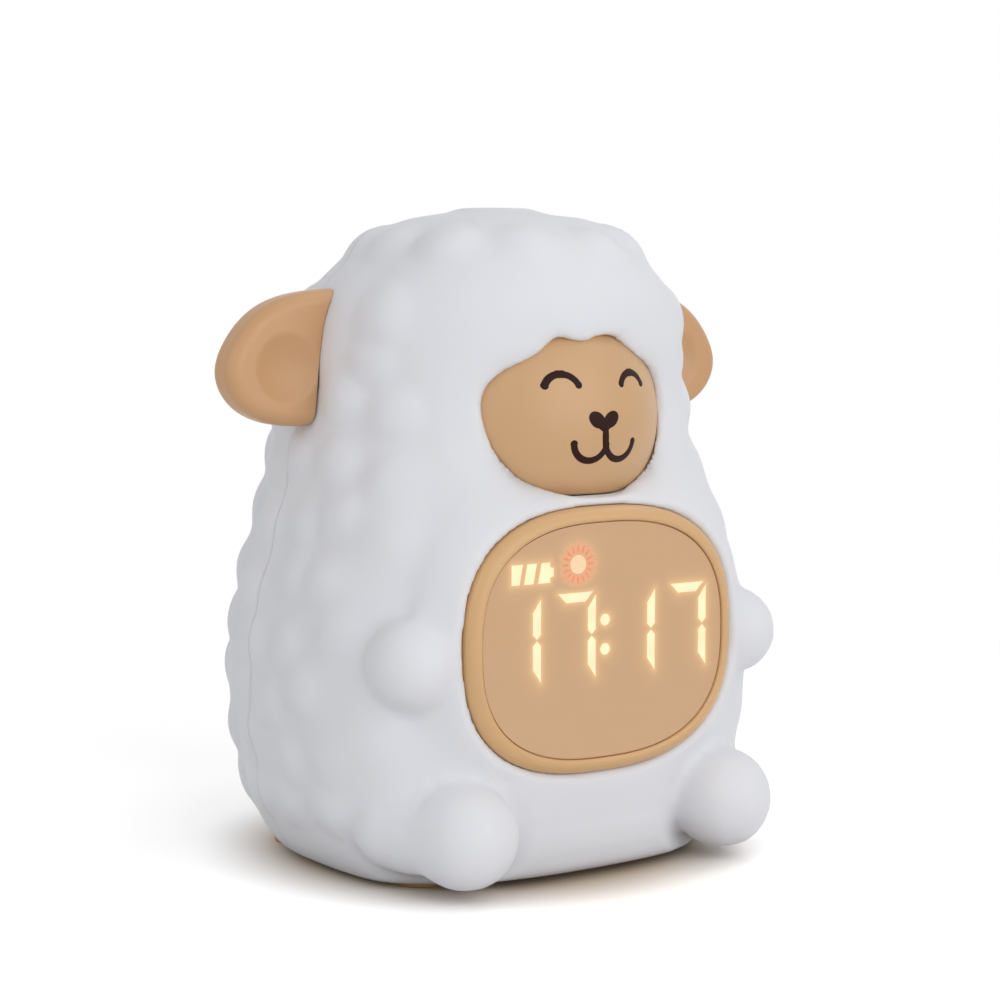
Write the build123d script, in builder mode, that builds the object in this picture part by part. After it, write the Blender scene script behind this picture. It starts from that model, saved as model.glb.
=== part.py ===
from build123d import *
from math import cos, pi, sin
import os

# A child's alarm clock and night light in the form of a sitting sheep. A hollow silicone skin
# with woolly flanks is pulled over a milky two-part shell, which holds the lamp, the display,
# the battery and the speaker. Millimetres, +Z up, the face looks along -Y. The origin lies on
# the table, in the middle of the clock's length, width and depth.

# ---------------------------------------------------------------- driving dimensions
FIT = 0.3                   # gap between neighbours that aren't clamped together
SLIDING_FIT = 0.2           # gap round a key or a knob

BODY_HEIGHT = 140.0         # table to crown
BODY_WIDTH = 111.6          # flank to flank at the belly, between the lumps of wool
BELLY_DEPTH = 46.0          # body's axis to the belly
BACK_DEPTH = 46.2           # body's axis to the back
HEAD_LEAN = 6.0             # how far the crown leans towards the face
BELLY_SQUARENESS = 3.0      # exponent of the belly's rounded-square outline
HEAD_SQUARENESS = 2.15
BACK_SQUARENESS = 2.3

# The body's form: share of the height, of the half width, of the belly's and of the back's
# depth, and of the lean, from the underside to the crown.
PROFILE = [
    (0.000, 0.790, 0.790, 0.780, 0.00),
    (0.017, 0.842, 0.860, 0.836, 0.00),
    (0.049, 0.898, 0.918, 0.892, 0.00),
    (0.115, 0.960, 0.970, 0.958, 0.00),
    (0.224, 1.000, 0.996, 1.000, 0.00),
    (0.325, 0.993, 1.000, 0.996, 0.00),
    (0.419, 0.955, 1.000, 0.968, 0.00),
    (0.507, 0.888, 0.980, 0.924, 0.00),
    (0.594, 0.827, 0.945, 0.890, 0.10),
    (0.681, 0.789, 0.930, 0.864, 0.25),
    (0.782, 0.762, 0.920, 0.810, 0.45),
    (0.855, 0.717, 0.898, 0.724, 0.70),
    (0.917, 0.587, 0.802, 0.562, 0.90),
    (0.956, 0.468, 0.674, 0.410, 1.00),
    (0.984, 0.324, 0.489, 0.227, 1.00),
    (1.000, 0.144, 0.283, 0.030, 1.00),
]
SHELL_ROWS = [0.115, 0.325, 0.507, 0.681, 0.855, 0.956]     # heights where the hard shell bends
SHELL_TOP = 0.984

SKIN_WALL = 2.6             # silicone
LIP_WIDTH = 6.0             # how far the skin turns in under the shell
LIP_THICKNESS = 2.4
SHELL_WALL = 2.0            # milky polypropylene

PAD_HEIGHT = 2.2            # tan foot pads under the base
PAD_RADIUS = 7.5
FRONT_PAD_AT = (0.273 * BODY_WIDTH, -0.52 * BELLY_DEPTH)
REAR_PAD_AT = (0.296 * BODY_WIDTH, 0.43 * BACK_DEPTH)

# Woolly relief: lumps in staggered rows on the flanks, the back and the head.
WOOL_BALL = 12.0            # radius of a lump's surface
WOOL_RISE = 1.6             # lump's top over the smooth form
WOOL_PITCH = 14.0           # lump to lump along a row
WOOL_ROWS = 11
WOOL_FLOOR = 15.5           # lowest row
WOOL_CEILING = 0.957 * BODY_HEIGHT
WOOL_WOBBLE = 0.16          # how far lumps stray from even rows, as a share of the pitch
WOOL_FRONT = 0.68 * BELLY_DEPTH     # no wool in front of this depth, above the arms' undersides
WOOL_LOW_FRONT = 0.84 * BELLY_DEPTH     # nor in front of this depth below them
WOOL_CLEAR = 6.5            # lump's middle to an ear or to the rear panel

ARM_RADIUS = 9.5
ARM_X = 0.3674 * BODY_WIDTH
ARM_Z = 0.345 * BODY_HEIGHT
ARM_SINK = 1.0              # ball's centre behind the belly's surface

FOOT_RADIUS = 10.8
FOOT_X = 0.294 * BODY_WIDTH
FOOT_Z = PAD_HEIGHT + FOOT_RADIUS + FIT
FOOT_REACH = 5.0            # ball's centre in front of the belly's surface
LEG_RADIUS = 8.5
LEG_LENGTH = 21.0           # foot's centre to the middle of the leg's round end
LEG_SPLAY = 17.0            # degrees, heels apart

FACE_Z = 0.693 * BODY_HEIGHT
FACE_WIDTH = 0.4158 * BODY_WIDTH
FACE_HEIGHT = 0.2357 * BODY_HEIGHT
FACE_BALL = 0.6 * FACE_WIDTH        # the face is part of a ball
FACE_BALL_Z = FACE_Z - 1.4
NOSE_DEPTH = BELLY_DEPTH + 0.2      # body's axis to the tip of the muzzle
FACE_WALL = 2.2
FACE_SKIRT_DEPTH = NOSE_DEPTH - 0.38 * FACE_WIDTH   # body's axis to the back edge of the face's skirt
FACE_ROUND = 0.7            # rounding of the face's rim
CHEEK_DEPTH = NOSE_DEPTH - 0.265 * FACE_WIDTH       # the skin's opening widens from here
CHEEK_RUN = 14.0
CHEEK_SPREAD = 7.0
# Half of the face's outline, as shares of half the width and half the height.
FACE_OUTLINE = [
    (0.30, 0.985), (0.52, 0.80), (0.76, 0.62), (0.945, 0.38), (1.00, 0.02),
    (0.91, -0.46), (0.67, -0.82), (0.33, -0.985),
]

DISPLAY_Z = 0.363 * BODY_HEIGHT
BEZEL_WIDTH = 0.604 * BODY_WIDTH
BEZEL_HEIGHT = 0.3943 * BODY_HEIGHT
BEZEL_RIM = 3.4             # width of the rim round the lens
BEZEL_FRONT = BELLY_DEPTH + 2.8     # body's axis to the rim
BEZEL_DEPTH = 12.5
BEZEL_ROUND = 1.0           # rounding of the rim's edges
LENS_SINK = 0.9             # lens behind the rim
LENS_THICKNESS = 1.6
LEDGE_WIDTH = 1.6
LEDGE_THICKNESS = 1.4
LENS_FIT = 0.15
DISPLAY_SQUARENESS = 2.6
BELLY_PAD_STEP = 2.2        # skin's flat pad behind the rim
BELLY_PAD_BORDER = 1.6
BELLY_PAD_FLANK = 7.0       # depth and spread of the pad's sloping flank

DIGIT_HEIGHT = 0.326 * BEZEL_HEIGHT
DIGIT_WIDTH = 0.1424 * BEZEL_WIDTH
DIGIT_PITCH = 0.2033 * BEZEL_WIDTH
DIGIT_Z = DISPLAY_Z + 1.2
COLON_GAP = 1.4             # extra space between the hours and the minutes
STROKE = 1.65
SEGMENT_GAP = 0.5
DOT_RADIUS = 1.2
DOT_SPACING = 6.2
BAR_SIZE = 2.7              # battery bars
BAR_HEIGHT = 3.8
BAR_PITCH = 3.3
BAR_TAPER = 75              # degrees, the sides of a battery bar
BAR_AT = (-0.276 * BEZEL_WIDTH, DISPLAY_Z + 0.268 * BEZEL_HEIGHT)
SUN_AT = (-0.101 * BEZEL_WIDTH, DISPLAY_Z + 0.288 * BEZEL_HEIGHT)
SUN_RADIUS = 2.3
MODULE_THICKNESS = 5.0
WINDOW_DEPTH = 3.0          # diffusers in the display module
WINDOW_FIT = 0.1
BOARD_THICKNESS = 1.6
RETAINER_WIDTH = 6.0
RETAINER_THICKNESS = 2.0

EAR_THICKNESS = 9.0
EAR_ROUND = 3.0
EAR_ROOT_X = 0.27 * BODY_WIDTH      # outline starts inside the head, which then trims it
EAR_TIP_X = 0.5735 * BODY_WIDTH
EAR_TOP_Z = 0.88 * BODY_HEIGHT
EAR_BOTTOM_Z = 0.6714 * BODY_HEIGHT
EAR_TIP_Z = 0.75 * BODY_HEIGHT
EAR_REACH = EAR_TIP_X - EAR_ROOT_X
EAR_HEIGHT = EAR_TOP_Z - EAR_BOTTOM_Z
EAR_DISH_RADIUS = min(0.215 * EAR_REACH, 0.25 * EAR_HEIGHT)
EAR_DISH_DEPTH = 1.9
EAR_DISH_ROUND = 3.0        # rounding of the dish's edge
EAR_STEM_Z = 0.771 * BODY_HEIGHT
EAR_STEM_HEIGHT = 13.0
EAR_STEM_THICKNESS = 4.6
EAR_STEM_END_X = 0.43 * BODY_WIDTH
WASHER_BORDER = 2.5         # washer wider than the stem, all round
WASHER_THICKNESS = 1.6

PANEL_WIDTH = 44.0
PANEL_HEIGHT = 26.0
PANEL_CORNER = 9.0
PANEL_Z = 0.286 * BODY_HEIGHT
PANEL_DEPTH = BACK_DEPTH - 3.0      # body's axis to the panel's face
PANEL_THICKNESS = 2.0
PANEL_SKIRT = 5.2           # face to the back edge of the skirt
PANEL_SKIRT_WALL = 1.5

KEY_NAMES = ["key_alarm", "key_light", "key_minus", "key_plus"]
KEY_RADIUS = 3.3
KEY_PITCH = 9.6
KEY_ROW_RISE = 5.6          # above the panel's middle
KEY_PROUD = 1.2
KEY_TRAVEL = 0.6
KEY_FLANGE = 1.0            # wider than the hole, and as thick
KEY_ROUND = 0.5
SWITCH_SIZE = 6.0           # tact switches
SWITCH_HEIGHT = 3.5
PLUNGER_RADIUS = 1.7
PLUNGER_HEIGHT = 0.8
LOWER_ROW_DROP = 6.0        # below the panel's middle

KNOB_AT_X = -9.0
KNOB_LENGTH = 4.0
KNOB_HEIGHT = 3.0
KNOB_PROUD = 0.9
KNOB_TRAVEL = 3.0
KNOB_FLANGE = 1.0           # inside the panel, and as thick
KNOB_FLANGE_REACH = 2.3     # beyond the knob at each end
SLIDER_LENGTH = 12.0
SLIDER_HEIGHT = 4.6
SLIDER_DEPTH = 3.6

USB_AT_X = 9.0
USB_WIDTH = 8.94
USB_HEIGHT = 3.26
USB_WALL = 0.3
USB_SINK = 0.6              # socket's mouth behind the panel's face
USB_TONGUE = 0.8

MAIN_BOARD_WIDTH = 52.0
MAIN_BOARD_HEIGHT = 40.0
MAIN_BOARD_DEPTH = PANEL_DEPTH - 8.6    # body's axis to the board's rear face
MAIN_BOSS_INSET = 3.5       # screw to the board's edges
BOSS_RADIUS = 2.8
BOARD_SCREW_RADIUS = 1.25
BOARD_SCREW_LENGTH = 4.5
SCREW_HEAD_HEIGHT = 1.8

POST_RADIUS = 4.2
LOWER_POST_AT = (0.367 * BODY_WIDTH, 0.286 * BODY_HEIGHT)
UPPER_POST_AT = (0.197 * BODY_WIDTH, 0.85 * BODY_HEIGHT)
SHELL_SCREW_RADIUS = 1.5
SHELL_SCREW_LENGTH = 12.0
SHELL_SCREW_LAND = 3.0      # plastic under the head
BASE_POST_HEIGHT = 12.0
BASE_SCREW_LENGTH = 9.0
FRONT_BASE_POST_AT = (0.278 * BODY_WIDTH, -0.22 * BELLY_DEPTH)
REAR_BASE_POST_AT = (0.197 * BODY_WIDTH, 0.465 * BACK_DEPTH)
RIB_THICKNESS = 1.8

BATTERY_LENGTH = 46.0
BATTERY_DEPTH = 28.0
BATTERY_HEIGHT = 9.0
BATTERY_Y = -14.2           # from the body's axis
CRADLE_WALL = 1.4
SPEAKER_RADIUS = 13.0
SPEAKER_HEIGHT = 9.0
SPEAKER_Y = 17.0
SPEAKER_RING_WALL = 1.4
GRILLE_HOLE = 0.9
GRILLE_PITCH = 3.4

DISH_Z = 0.536 * BODY_HEIGHT        # underside of the lamp's reflector
DISH_RADIUS = 0.26 * BODY_WIDTH
DISH_FLARE = 2.0
DISH_THICKNESS = 1.6
DISH_RIM = 5.0
LIGHT_BOARD_RADIUS = 19.0
LED_COUNT = 8
LED_RING = 14.0
LED_SIZE = 3.5
LED_HEIGHT = 1.4
SENSOR_RADIUS = 2.5
SENSOR_HEIGHT = 7.0
BRACKET_WIDTH = 8.0
BRACKET_THICKNESS = 2.4
BRACKET_UNDER = 4.0         # bracket's reach under the reflector

# ---------------------------------------------------------------- form of the body
OUTLINE_POINTS = 24
SHELL_INSET = SKIN_WALL + FIT
HOLLOW_INSET = SHELL_INSET + SHELL_WALL


def shares_at(share):
    """The profile's row at a share of the height, between the rows that are given."""
    for low, high in zip(PROFILE, PROFILE[1:]):
        if share <= high[0]:
            part = (share - low[0]) / (high[0] - low[0])
            return [a + (b - a) * part for a, b in zip(low, high)]
    return list(PROFILE[-1])


def share_of(height):
    return (height - PAD_HEIGHT) / (BODY_HEIGHT - PAD_HEIGHT)


def squareness_at(share):
    """Square at the belly, rounder from the neck up."""
    neck, brow = 0.5, 0.63
    part = min(max((share - neck) / (brow - neck), 0.0), 1.0)
    return BELLY_SQUARENESS + (HEAD_SQUARENESS - BELLY_SQUARENESS) * part


def rounded_point(angle, half_width, front, back, front_squareness, back_squareness, lean=0.0):
    """A point of a rounded square, front and back of their own depth."""
    across, along = cos(angle), sin(angle)
    power = 2 / (back_squareness if along > 0 else front_squareness)
    x = half_width * abs(across) ** power * (1 if across > 0 else -1)
    y = abs(along) ** power * ((back + lean) if along > 0 else (lean - front))
    return x, y - lean


def rounded_points(*form):
    steps = range(OUTLINE_POINTS)
    return [rounded_point(2 * pi * step / OUTLINE_POINTS, *form) for step in steps]


def body_outline(share, inset=0.0):
    """What rounded_point needs to draw the body at a share of its height."""
    _, width, belly, back, lean = shares_at(share)
    return (
        width * BODY_WIDTH / 2 - inset,
        belly * BELLY_DEPTH - inset,
        back * BACK_DEPTH - inset,
        squareness_at(share),
        BACK_SQUARENESS,
        lean * HEAD_LEAN,
    )


def body_points(share, inset=0.0):
    return rounded_points(*body_outline(share, inset))


def front_reach(x, height):
    """Distance from the body's axis to the belly's surface, at a height and off the middle."""
    share = share_of(height)
    _, width, belly, _, _ = shares_at(share)
    square = squareness_at(share)
    return belly * BELLY_DEPTH * (1 - (x / (width * BODY_WIDTH / 2)) ** square) ** (1 / square)


FOOT_CENTRE_DEPTH = front_reach(FOOT_X, FOOT_Z) + FOOT_REACH
AXIS_Y = (FOOT_CENTRE_DEPTH + FOOT_RADIUS - BACK_DEPTH) / 2     # body's axis, behind the origin
SHELL_FLOOR = PAD_HEIGHT + LIP_THICKNESS + FIT


def level(height):
    """Horizontal plane, its origin on the body's axis."""
    return Plane(origin=(0, AXIS_Y, height), x_dir=(1, 0, 0), z_dir=(0, 0, 1))


def front(depth, height=0.0):
    """Upright plane in front of the axis, facing the viewer."""
    return Plane(origin=(0, AXIS_Y - depth, height), x_dir=(1, 0, 0), z_dir=(0, -1, 0))


def rear(depth, height=0.0):
    """Upright plane behind the axis, facing backwards. Its x runs along +X."""
    return Plane(origin=(0, AXIS_Y + depth, height), x_dir=(1, 0, 0), z_dir=(0, -1, 0))


def ear_plane(x=0.0):
    """Upright plane across the ear's stem, facing outwards. Its x runs upwards."""
    return Plane(origin=(x, AXIS_Y, EAR_STEM_Z), x_dir=(0, 0, 1), z_dir=(1, 0, 0))


def closed_face(points):
    """A face inside one smooth closed curve. Evenly numbered points let such curves loft cleanly."""
    numbers = [step / len(points) for step in range(len(points) + 1)]
    with BuildSketch() as shape:
        with BuildLine():
            add(Edge.make_spline([Vector(*point) for point in points], None, True, numbers))
        make_face()
    return shape.sketch


def skin_form(grow=0.0):
    """The body's smooth outer form, without arms and feet."""
    with BuildPart() as form:
        for row in PROFILE:
            with BuildSketch(level(PAD_HEIGHT + row[0] * (BODY_HEIGHT - PAD_HEIGHT))):
                add(closed_face(body_points(row[0], -grow)))
        loft()
    return form.part


def shell_levels(inset, floor):
    """Share and height of each outline of the hard shell."""
    rise = BODY_HEIGHT - inset - PAD_HEIGHT
    return [(share_of(floor), floor)] + [(s, PAD_HEIGHT + s * rise) for s in SHELL_ROWS + [SHELL_TOP]]


def shell_form(inset, floor):
    """The hard shell's form: straight bands between a few outlines, drawn in by the inset."""
    with BuildPart() as form:
        for share, height in shell_levels(inset, floor):
            with BuildSketch(level(height)):
                add(closed_face(body_points(share, inset)))
        loft(ruled=True)
    return form.part


def hollow_half_width(height):
    """Half width inside the hard shell, at a height."""
    levels = shell_levels(HOLLOW_INSET, SHELL_FLOOR)
    for (low, bottom), (high, top) in zip(levels, levels[1:]):
        if height <= top:
            part = (height - bottom) / (top - bottom)
            low_width, high_width = shares_at(low)[1], shares_at(high)[1]
            return (low_width + (high_width - low_width) * part) * BODY_WIDTH / 2 - HOLLOW_INSET
    return 0.0


def display_face(inset=0.0):
    """The display's rounded outline about its own middle."""
    width, height = BEZEL_WIDTH / 2 - inset, BEZEL_HEIGHT / 2 - inset
    square = DISPLAY_SQUARENESS
    return closed_face(rounded_points(width, height, height, square, square))


def face_face(inset=0.0, spread=0.0):
    """The face's outline: two bumps of wool over the brow, full cheeks, a flat chin."""
    width, height = FACE_WIDTH / 2 - inset + spread, FACE_HEIGHT / 2 - inset
    right = [(x * width, y * height) for x, y in FACE_OUTLINE]
    left = [(-x, y) for x, y in reversed(right)]
    return closed_face([(0, height * 0.955)] + right + [(0, -height)] + left)


SKIN_FORM = skin_form()
CAVITY_FORM = shell_form(SKIN_WALL, PAD_HEIGHT + LIP_THICKNESS)
SHELL_FORM = shell_form(SHELL_INSET, SHELL_FLOOR)
HOLLOW_FORM = shell_form(HOLLOW_INSET, SHELL_FLOOR)


def base_points(grow=0.0):
    """The opening in the skin's underside."""
    return body_points(0.0, LIP_WIDTH - grow)


def at_four(front_place, rear_place):
    """A front pair and a rear pair of places, left and right alike."""
    (fx, fy), (rx, ry) = front_place, rear_place
    return [(fx, fy), (-fx, fy), (rx, ry), (-rx, ry)]


PADS = at_four(FRONT_PAD_AT, REAR_PAD_AT)
BASE_POSTS = at_four(FRONT_BASE_POST_AT, REAR_BASE_POST_AT)
SHELL_POSTS = at_four(LOWER_POST_AT, UPPER_POST_AT)
PANEL_KEYS = [(KEY_PITCH * (i - 1.5), PANEL_Z + KEY_ROW_RISE) for i in range(4)]
LOWER_ROW_Z = PANEL_Z - LOWER_ROW_DROP
BOARD_SCREWS = [
    (x * (MAIN_BOARD_WIDTH / 2 - MAIN_BOSS_INSET), PANEL_Z + z * (MAIN_BOARD_HEIGHT / 2 - MAIN_BOSS_INSET))
    for x in (-1, 1) for z in (-1, 1)
]
WASHER_HEIGHT = EAR_STEM_HEIGHT + 2 * WASHER_BORDER
WASHER_WIDTH = EAR_STEM_THICKNESS + 2 * WASHER_BORDER
WASHER_X = hollow_half_width(EAR_STEM_Z + WASHER_HEIGHT / 2) - FIT      # its seat inside the shell
PIECES = []


def keep(builder, label):
    """Name a finished piece for the assembly."""
    builder.part.label = label
    PIECES.append(builder.part)
    return builder.part


# ---------------------------------------------------------------- ears
def make_ears():
    rise = EAR_TOP_Z - EAR_TIP_Z
    drop = EAR_TIP_Z - EAR_BOTTOM_Z
    outline = [
        (EAR_ROOT_X, EAR_TOP_Z),
        (EAR_ROOT_X + EAR_REACH * 0.40, EAR_TOP_Z - rise * 0.05),
        (EAR_ROOT_X + EAR_REACH * 0.72, EAR_TOP_Z - rise * 0.22),
        (EAR_ROOT_X + EAR_REACH * 0.93, EAR_TOP_Z - rise * 0.60),
        (EAR_TIP_X, EAR_TIP_Z),
        (EAR_ROOT_X + EAR_REACH * 0.92, EAR_TIP_Z - drop * 0.54),
        (EAR_ROOT_X + EAR_REACH * 0.72, EAR_TIP_Z - drop * 0.90),
        (EAR_ROOT_X + EAR_REACH * 0.45, EAR_BOTTOM_Z + drop * 0.02),
        (EAR_ROOT_X, EAR_BOTTOM_Z + drop * 0.3),
    ]
    trim = skin_form(FIT)
    dish_x, dish_z = EAR_ROOT_X + EAR_REACH * 0.60, EAR_BOTTOM_Z + EAR_HEIGHT * 0.42
    dish_ball = (EAR_DISH_RADIUS ** 2 + EAR_DISH_DEPTH ** 2) / (2 * EAR_DISH_DEPTH)
    dish_middle = EAR_THICKNESS / 2 - EAR_DISH_DEPTH + dish_ball
    with BuildPart() as right_ear:
        with BuildSketch(front(EAR_THICKNESS / 2)):
            with BuildLine():
                edge = Spline(*outline)
                Line(edge @ 1, edge @ 0)
            make_face()
        extrude(amount=-EAR_THICKNESS)
        rim = right_ear.edges().filter_by(lambda e: e.center().X > EAR_ROOT_X + 1).filter_by(
            Axis.Y, reverse=True)
        fillet(rim, EAR_ROUND)
        # the dished inner side, which faces forwards
        with Locations(Location((dish_x, AXIS_Y - dish_middle, dish_z), (90, 0, 0))):
            Sphere(dish_ball, mode=Mode.SUBTRACT)
        dish_edge = right_ear.edges().filter_by(GeomType.CIRCLE).sort_by(Axis.Y)[0]
        fillet(dish_edge, EAR_DISH_ROUND)
        add(trim, mode=Mode.SUBTRACT)
        # the stem that goes through the skin and the shell
        with BuildSketch(ear_plane(WASHER_X)):
            SlotOverall(EAR_STEM_HEIGHT, EAR_STEM_THICKNESS)
        extrude(amount=EAR_STEM_END_X - WASHER_X)
        with BuildSketch(ear_plane(WASHER_X)):
            Circle(BOARD_SCREW_RADIUS)
        extrude(amount=BOARD_SCREW_LENGTH + FIT, mode=Mode.SUBTRACT)
    keep(right_ear, "right_ear")
    with BuildPart() as left_ear:
        add(mirror(right_ear.part, about=Plane.YZ, mode=Mode.PRIVATE))
    keep(left_ear, "left_ear")

    with BuildPart() as ear_fasteners:
        with BuildSketch(ear_plane(WASHER_X)):
            RectangleRounded(WASHER_HEIGHT, WASHER_WIDTH, WASHER_BORDER)
        extrude(amount=-WASHER_THICKNESS)
        with BuildSketch(ear_plane(WASHER_X - WASHER_THICKNESS)):
            Circle(BOSS_RADIUS)
        extrude(amount=-SCREW_HEAD_HEIGHT)
        with BuildSketch(ear_plane(WASHER_X)):
            Circle(BOARD_SCREW_RADIUS)
        extrude(amount=BOARD_SCREW_LENGTH)
        mirror(about=Plane.YZ)
    keep(ear_fasteners, "ear_fasteners")


# ---------------------------------------------------------------- skin
def form_point(degrees, share):
    """A point of the smooth form, at an angle round the axis and a share of the height."""
    x, y = rounded_point(degrees * pi / 180, *body_outline(share))
    return Vector(x, AXIS_Y + y, PAD_HEIGHT + share * (BODY_HEIGHT - PAD_HEIGHT))


def stays_smooth(place):
    """Belly and face, round the ears and round the rear panel."""
    depth = place.Y - AXIS_Y
    front_limit = WOOL_FRONT if place.Z > ARM_Z - ARM_RADIUS else WOOL_LOW_FRONT
    by_ear = (
        abs(depth) < EAR_THICKNESS / 2 + WOOL_CLEAR
        and EAR_BOTTOM_Z - WOOL_CLEAR < place.Z < EAR_TOP_Z + WOOL_CLEAR
    )
    by_panel = (
        depth > 0
        and abs(place.X) < PANEL_WIDTH / 2 + WOOL_CLEAR
        and abs(place.Z - PANEL_Z) < PANEL_HEIGHT / 2 + WOOL_CLEAR
    )
    return depth < -front_limit or by_ear or by_panel


def wool_planes():
    """Where the wool's lumps go: balls sunk in the form, in staggered rows from the back forwards.

    Each plane looks outwards, so a ball's pole is in the middle of its lump and never on an edge.
    """
    planes = []
    for row in range(WOOL_ROWS):
        share = share_of(WOOL_FLOOR + (WOOL_CEILING - WOOL_FLOOR) * row / (WOOL_ROWS - 1))
        last = form_point(90, share)
        walked, due, count = 0.0, WOOL_PITCH / 2 * (row % 2), 0
        for degrees in range(90, 270):
            here = form_point(degrees, share)
            walked += (here - last).length
            last = here
            if walked < due:
                continue
            count += 1
            due += WOOL_PITCH * (1 + WOOL_WOBBLE * sin(2.4 * row + 1.9 * count))
            if stays_smooth(here):
                continue
            if 0 < row < WOOL_ROWS - 1:
                here = form_point(degrees, share_of(here.Z + WOOL_WOBBLE * WOOL_PITCH * cos(2 * count + row)))
            level_share = share_of(here.Z)
            along = form_point(degrees + 1, level_share) - here
            upward = form_point(degrees, level_share + 0.01) - here
            outward = along.cross(upward).normalized()
            middle = here - outward * (WOOL_BALL - WOOL_RISE)
            planes.append(Plane(origin=middle, z_dir=outward))
            if abs(middle.X) > 1:
                opposite = Vector(-middle.X, middle.Y, middle.Z)
                planes.append(Plane(origin=opposite, z_dir=Vector(-outward.X, outward.Y, outward.Z)))
    return planes


def make_skin():
    display_pad = front(BEZEL_FRONT - BELLY_PAD_STEP, DISPLAY_Z)
    with BuildPart() as silicone_skin:
        add(SKIN_FORM)
        with Locations(*wool_planes()):
            Sphere(WOOL_BALL)
        with BuildSketch(display_pad):
            add(display_face(-BELLY_PAD_BORDER))
        with BuildSketch(display_pad.offset(-BELLY_PAD_FLANK)):
            add(display_face(-BELLY_PAD_BORDER - BELLY_PAD_FLANK))
        loft(ruled=True)
        for side in (-1, 1):
            arm_y = AXIS_Y - front_reach(ARM_X, ARM_Z) + ARM_SINK
            with Locations(Location((side * ARM_X, arm_y, ARM_Z), (90, 0, 0))):
                Sphere(ARM_RADIUS)
            foot_at = (side * FOOT_X, AXIS_Y - FOOT_CENTRE_DEPTH, FOOT_Z)
            with Locations(Location(foot_at, (-90, side * LEG_SPLAY, 0))):
                Sphere(FOOT_RADIUS)
                Cylinder(LEG_RADIUS, LEG_LENGTH, align=(Align.CENTER, Align.CENTER, Align.MIN))
                with Locations((0, 0, LEG_LENGTH)):
                    Sphere(LEG_RADIUS)
        add(CAVITY_FORM, mode=Mode.SUBTRACT)
        with BuildSketch(level(PAD_HEIGHT)):
            add(closed_face(base_points()))
        extrude(amount=LIP_THICKNESS, mode=Mode.SUBTRACT)
        with BuildSketch(front(BELLY_DEPTH / 2, FACE_Z)):
            add(face_face(-FIT))
        extrude(amount=BELLY_DEPTH, mode=Mode.SUBTRACT)
        # the wool slopes down to the face at both cheeks
        with BuildSketch(front(CHEEK_DEPTH, FACE_Z)):
            add(face_face(-FIT))
        with BuildSketch(front(CHEEK_DEPTH + CHEEK_RUN, FACE_Z)):
            add(face_face(-FIT, CHEEK_SPREAD))
        loft(ruled=True, mode=Mode.SUBTRACT)
        with BuildSketch(front(BELLY_DEPTH / 2, DISPLAY_Z)):
            add(display_face(-FIT))
        extrude(amount=BELLY_DEPTH, mode=Mode.SUBTRACT)
        with BuildSketch(rear(BACK_DEPTH / 2, PANEL_Z)):
            RectangleRounded(PANEL_WIDTH + 2 * FIT, PANEL_HEIGHT + 2 * FIT, PANEL_CORNER + FIT)
        extrude(amount=-BACK_DEPTH, mode=Mode.SUBTRACT)
        with BuildSketch(ear_plane()):
            SlotOverall(EAR_STEM_HEIGHT + 2 * FIT, EAR_STEM_THICKNESS + 2 * FIT)
        extrude(amount=BODY_WIDTH / 2, both=True, mode=Mode.SUBTRACT)
    keep(silicone_skin, "silicone_skin")


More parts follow.
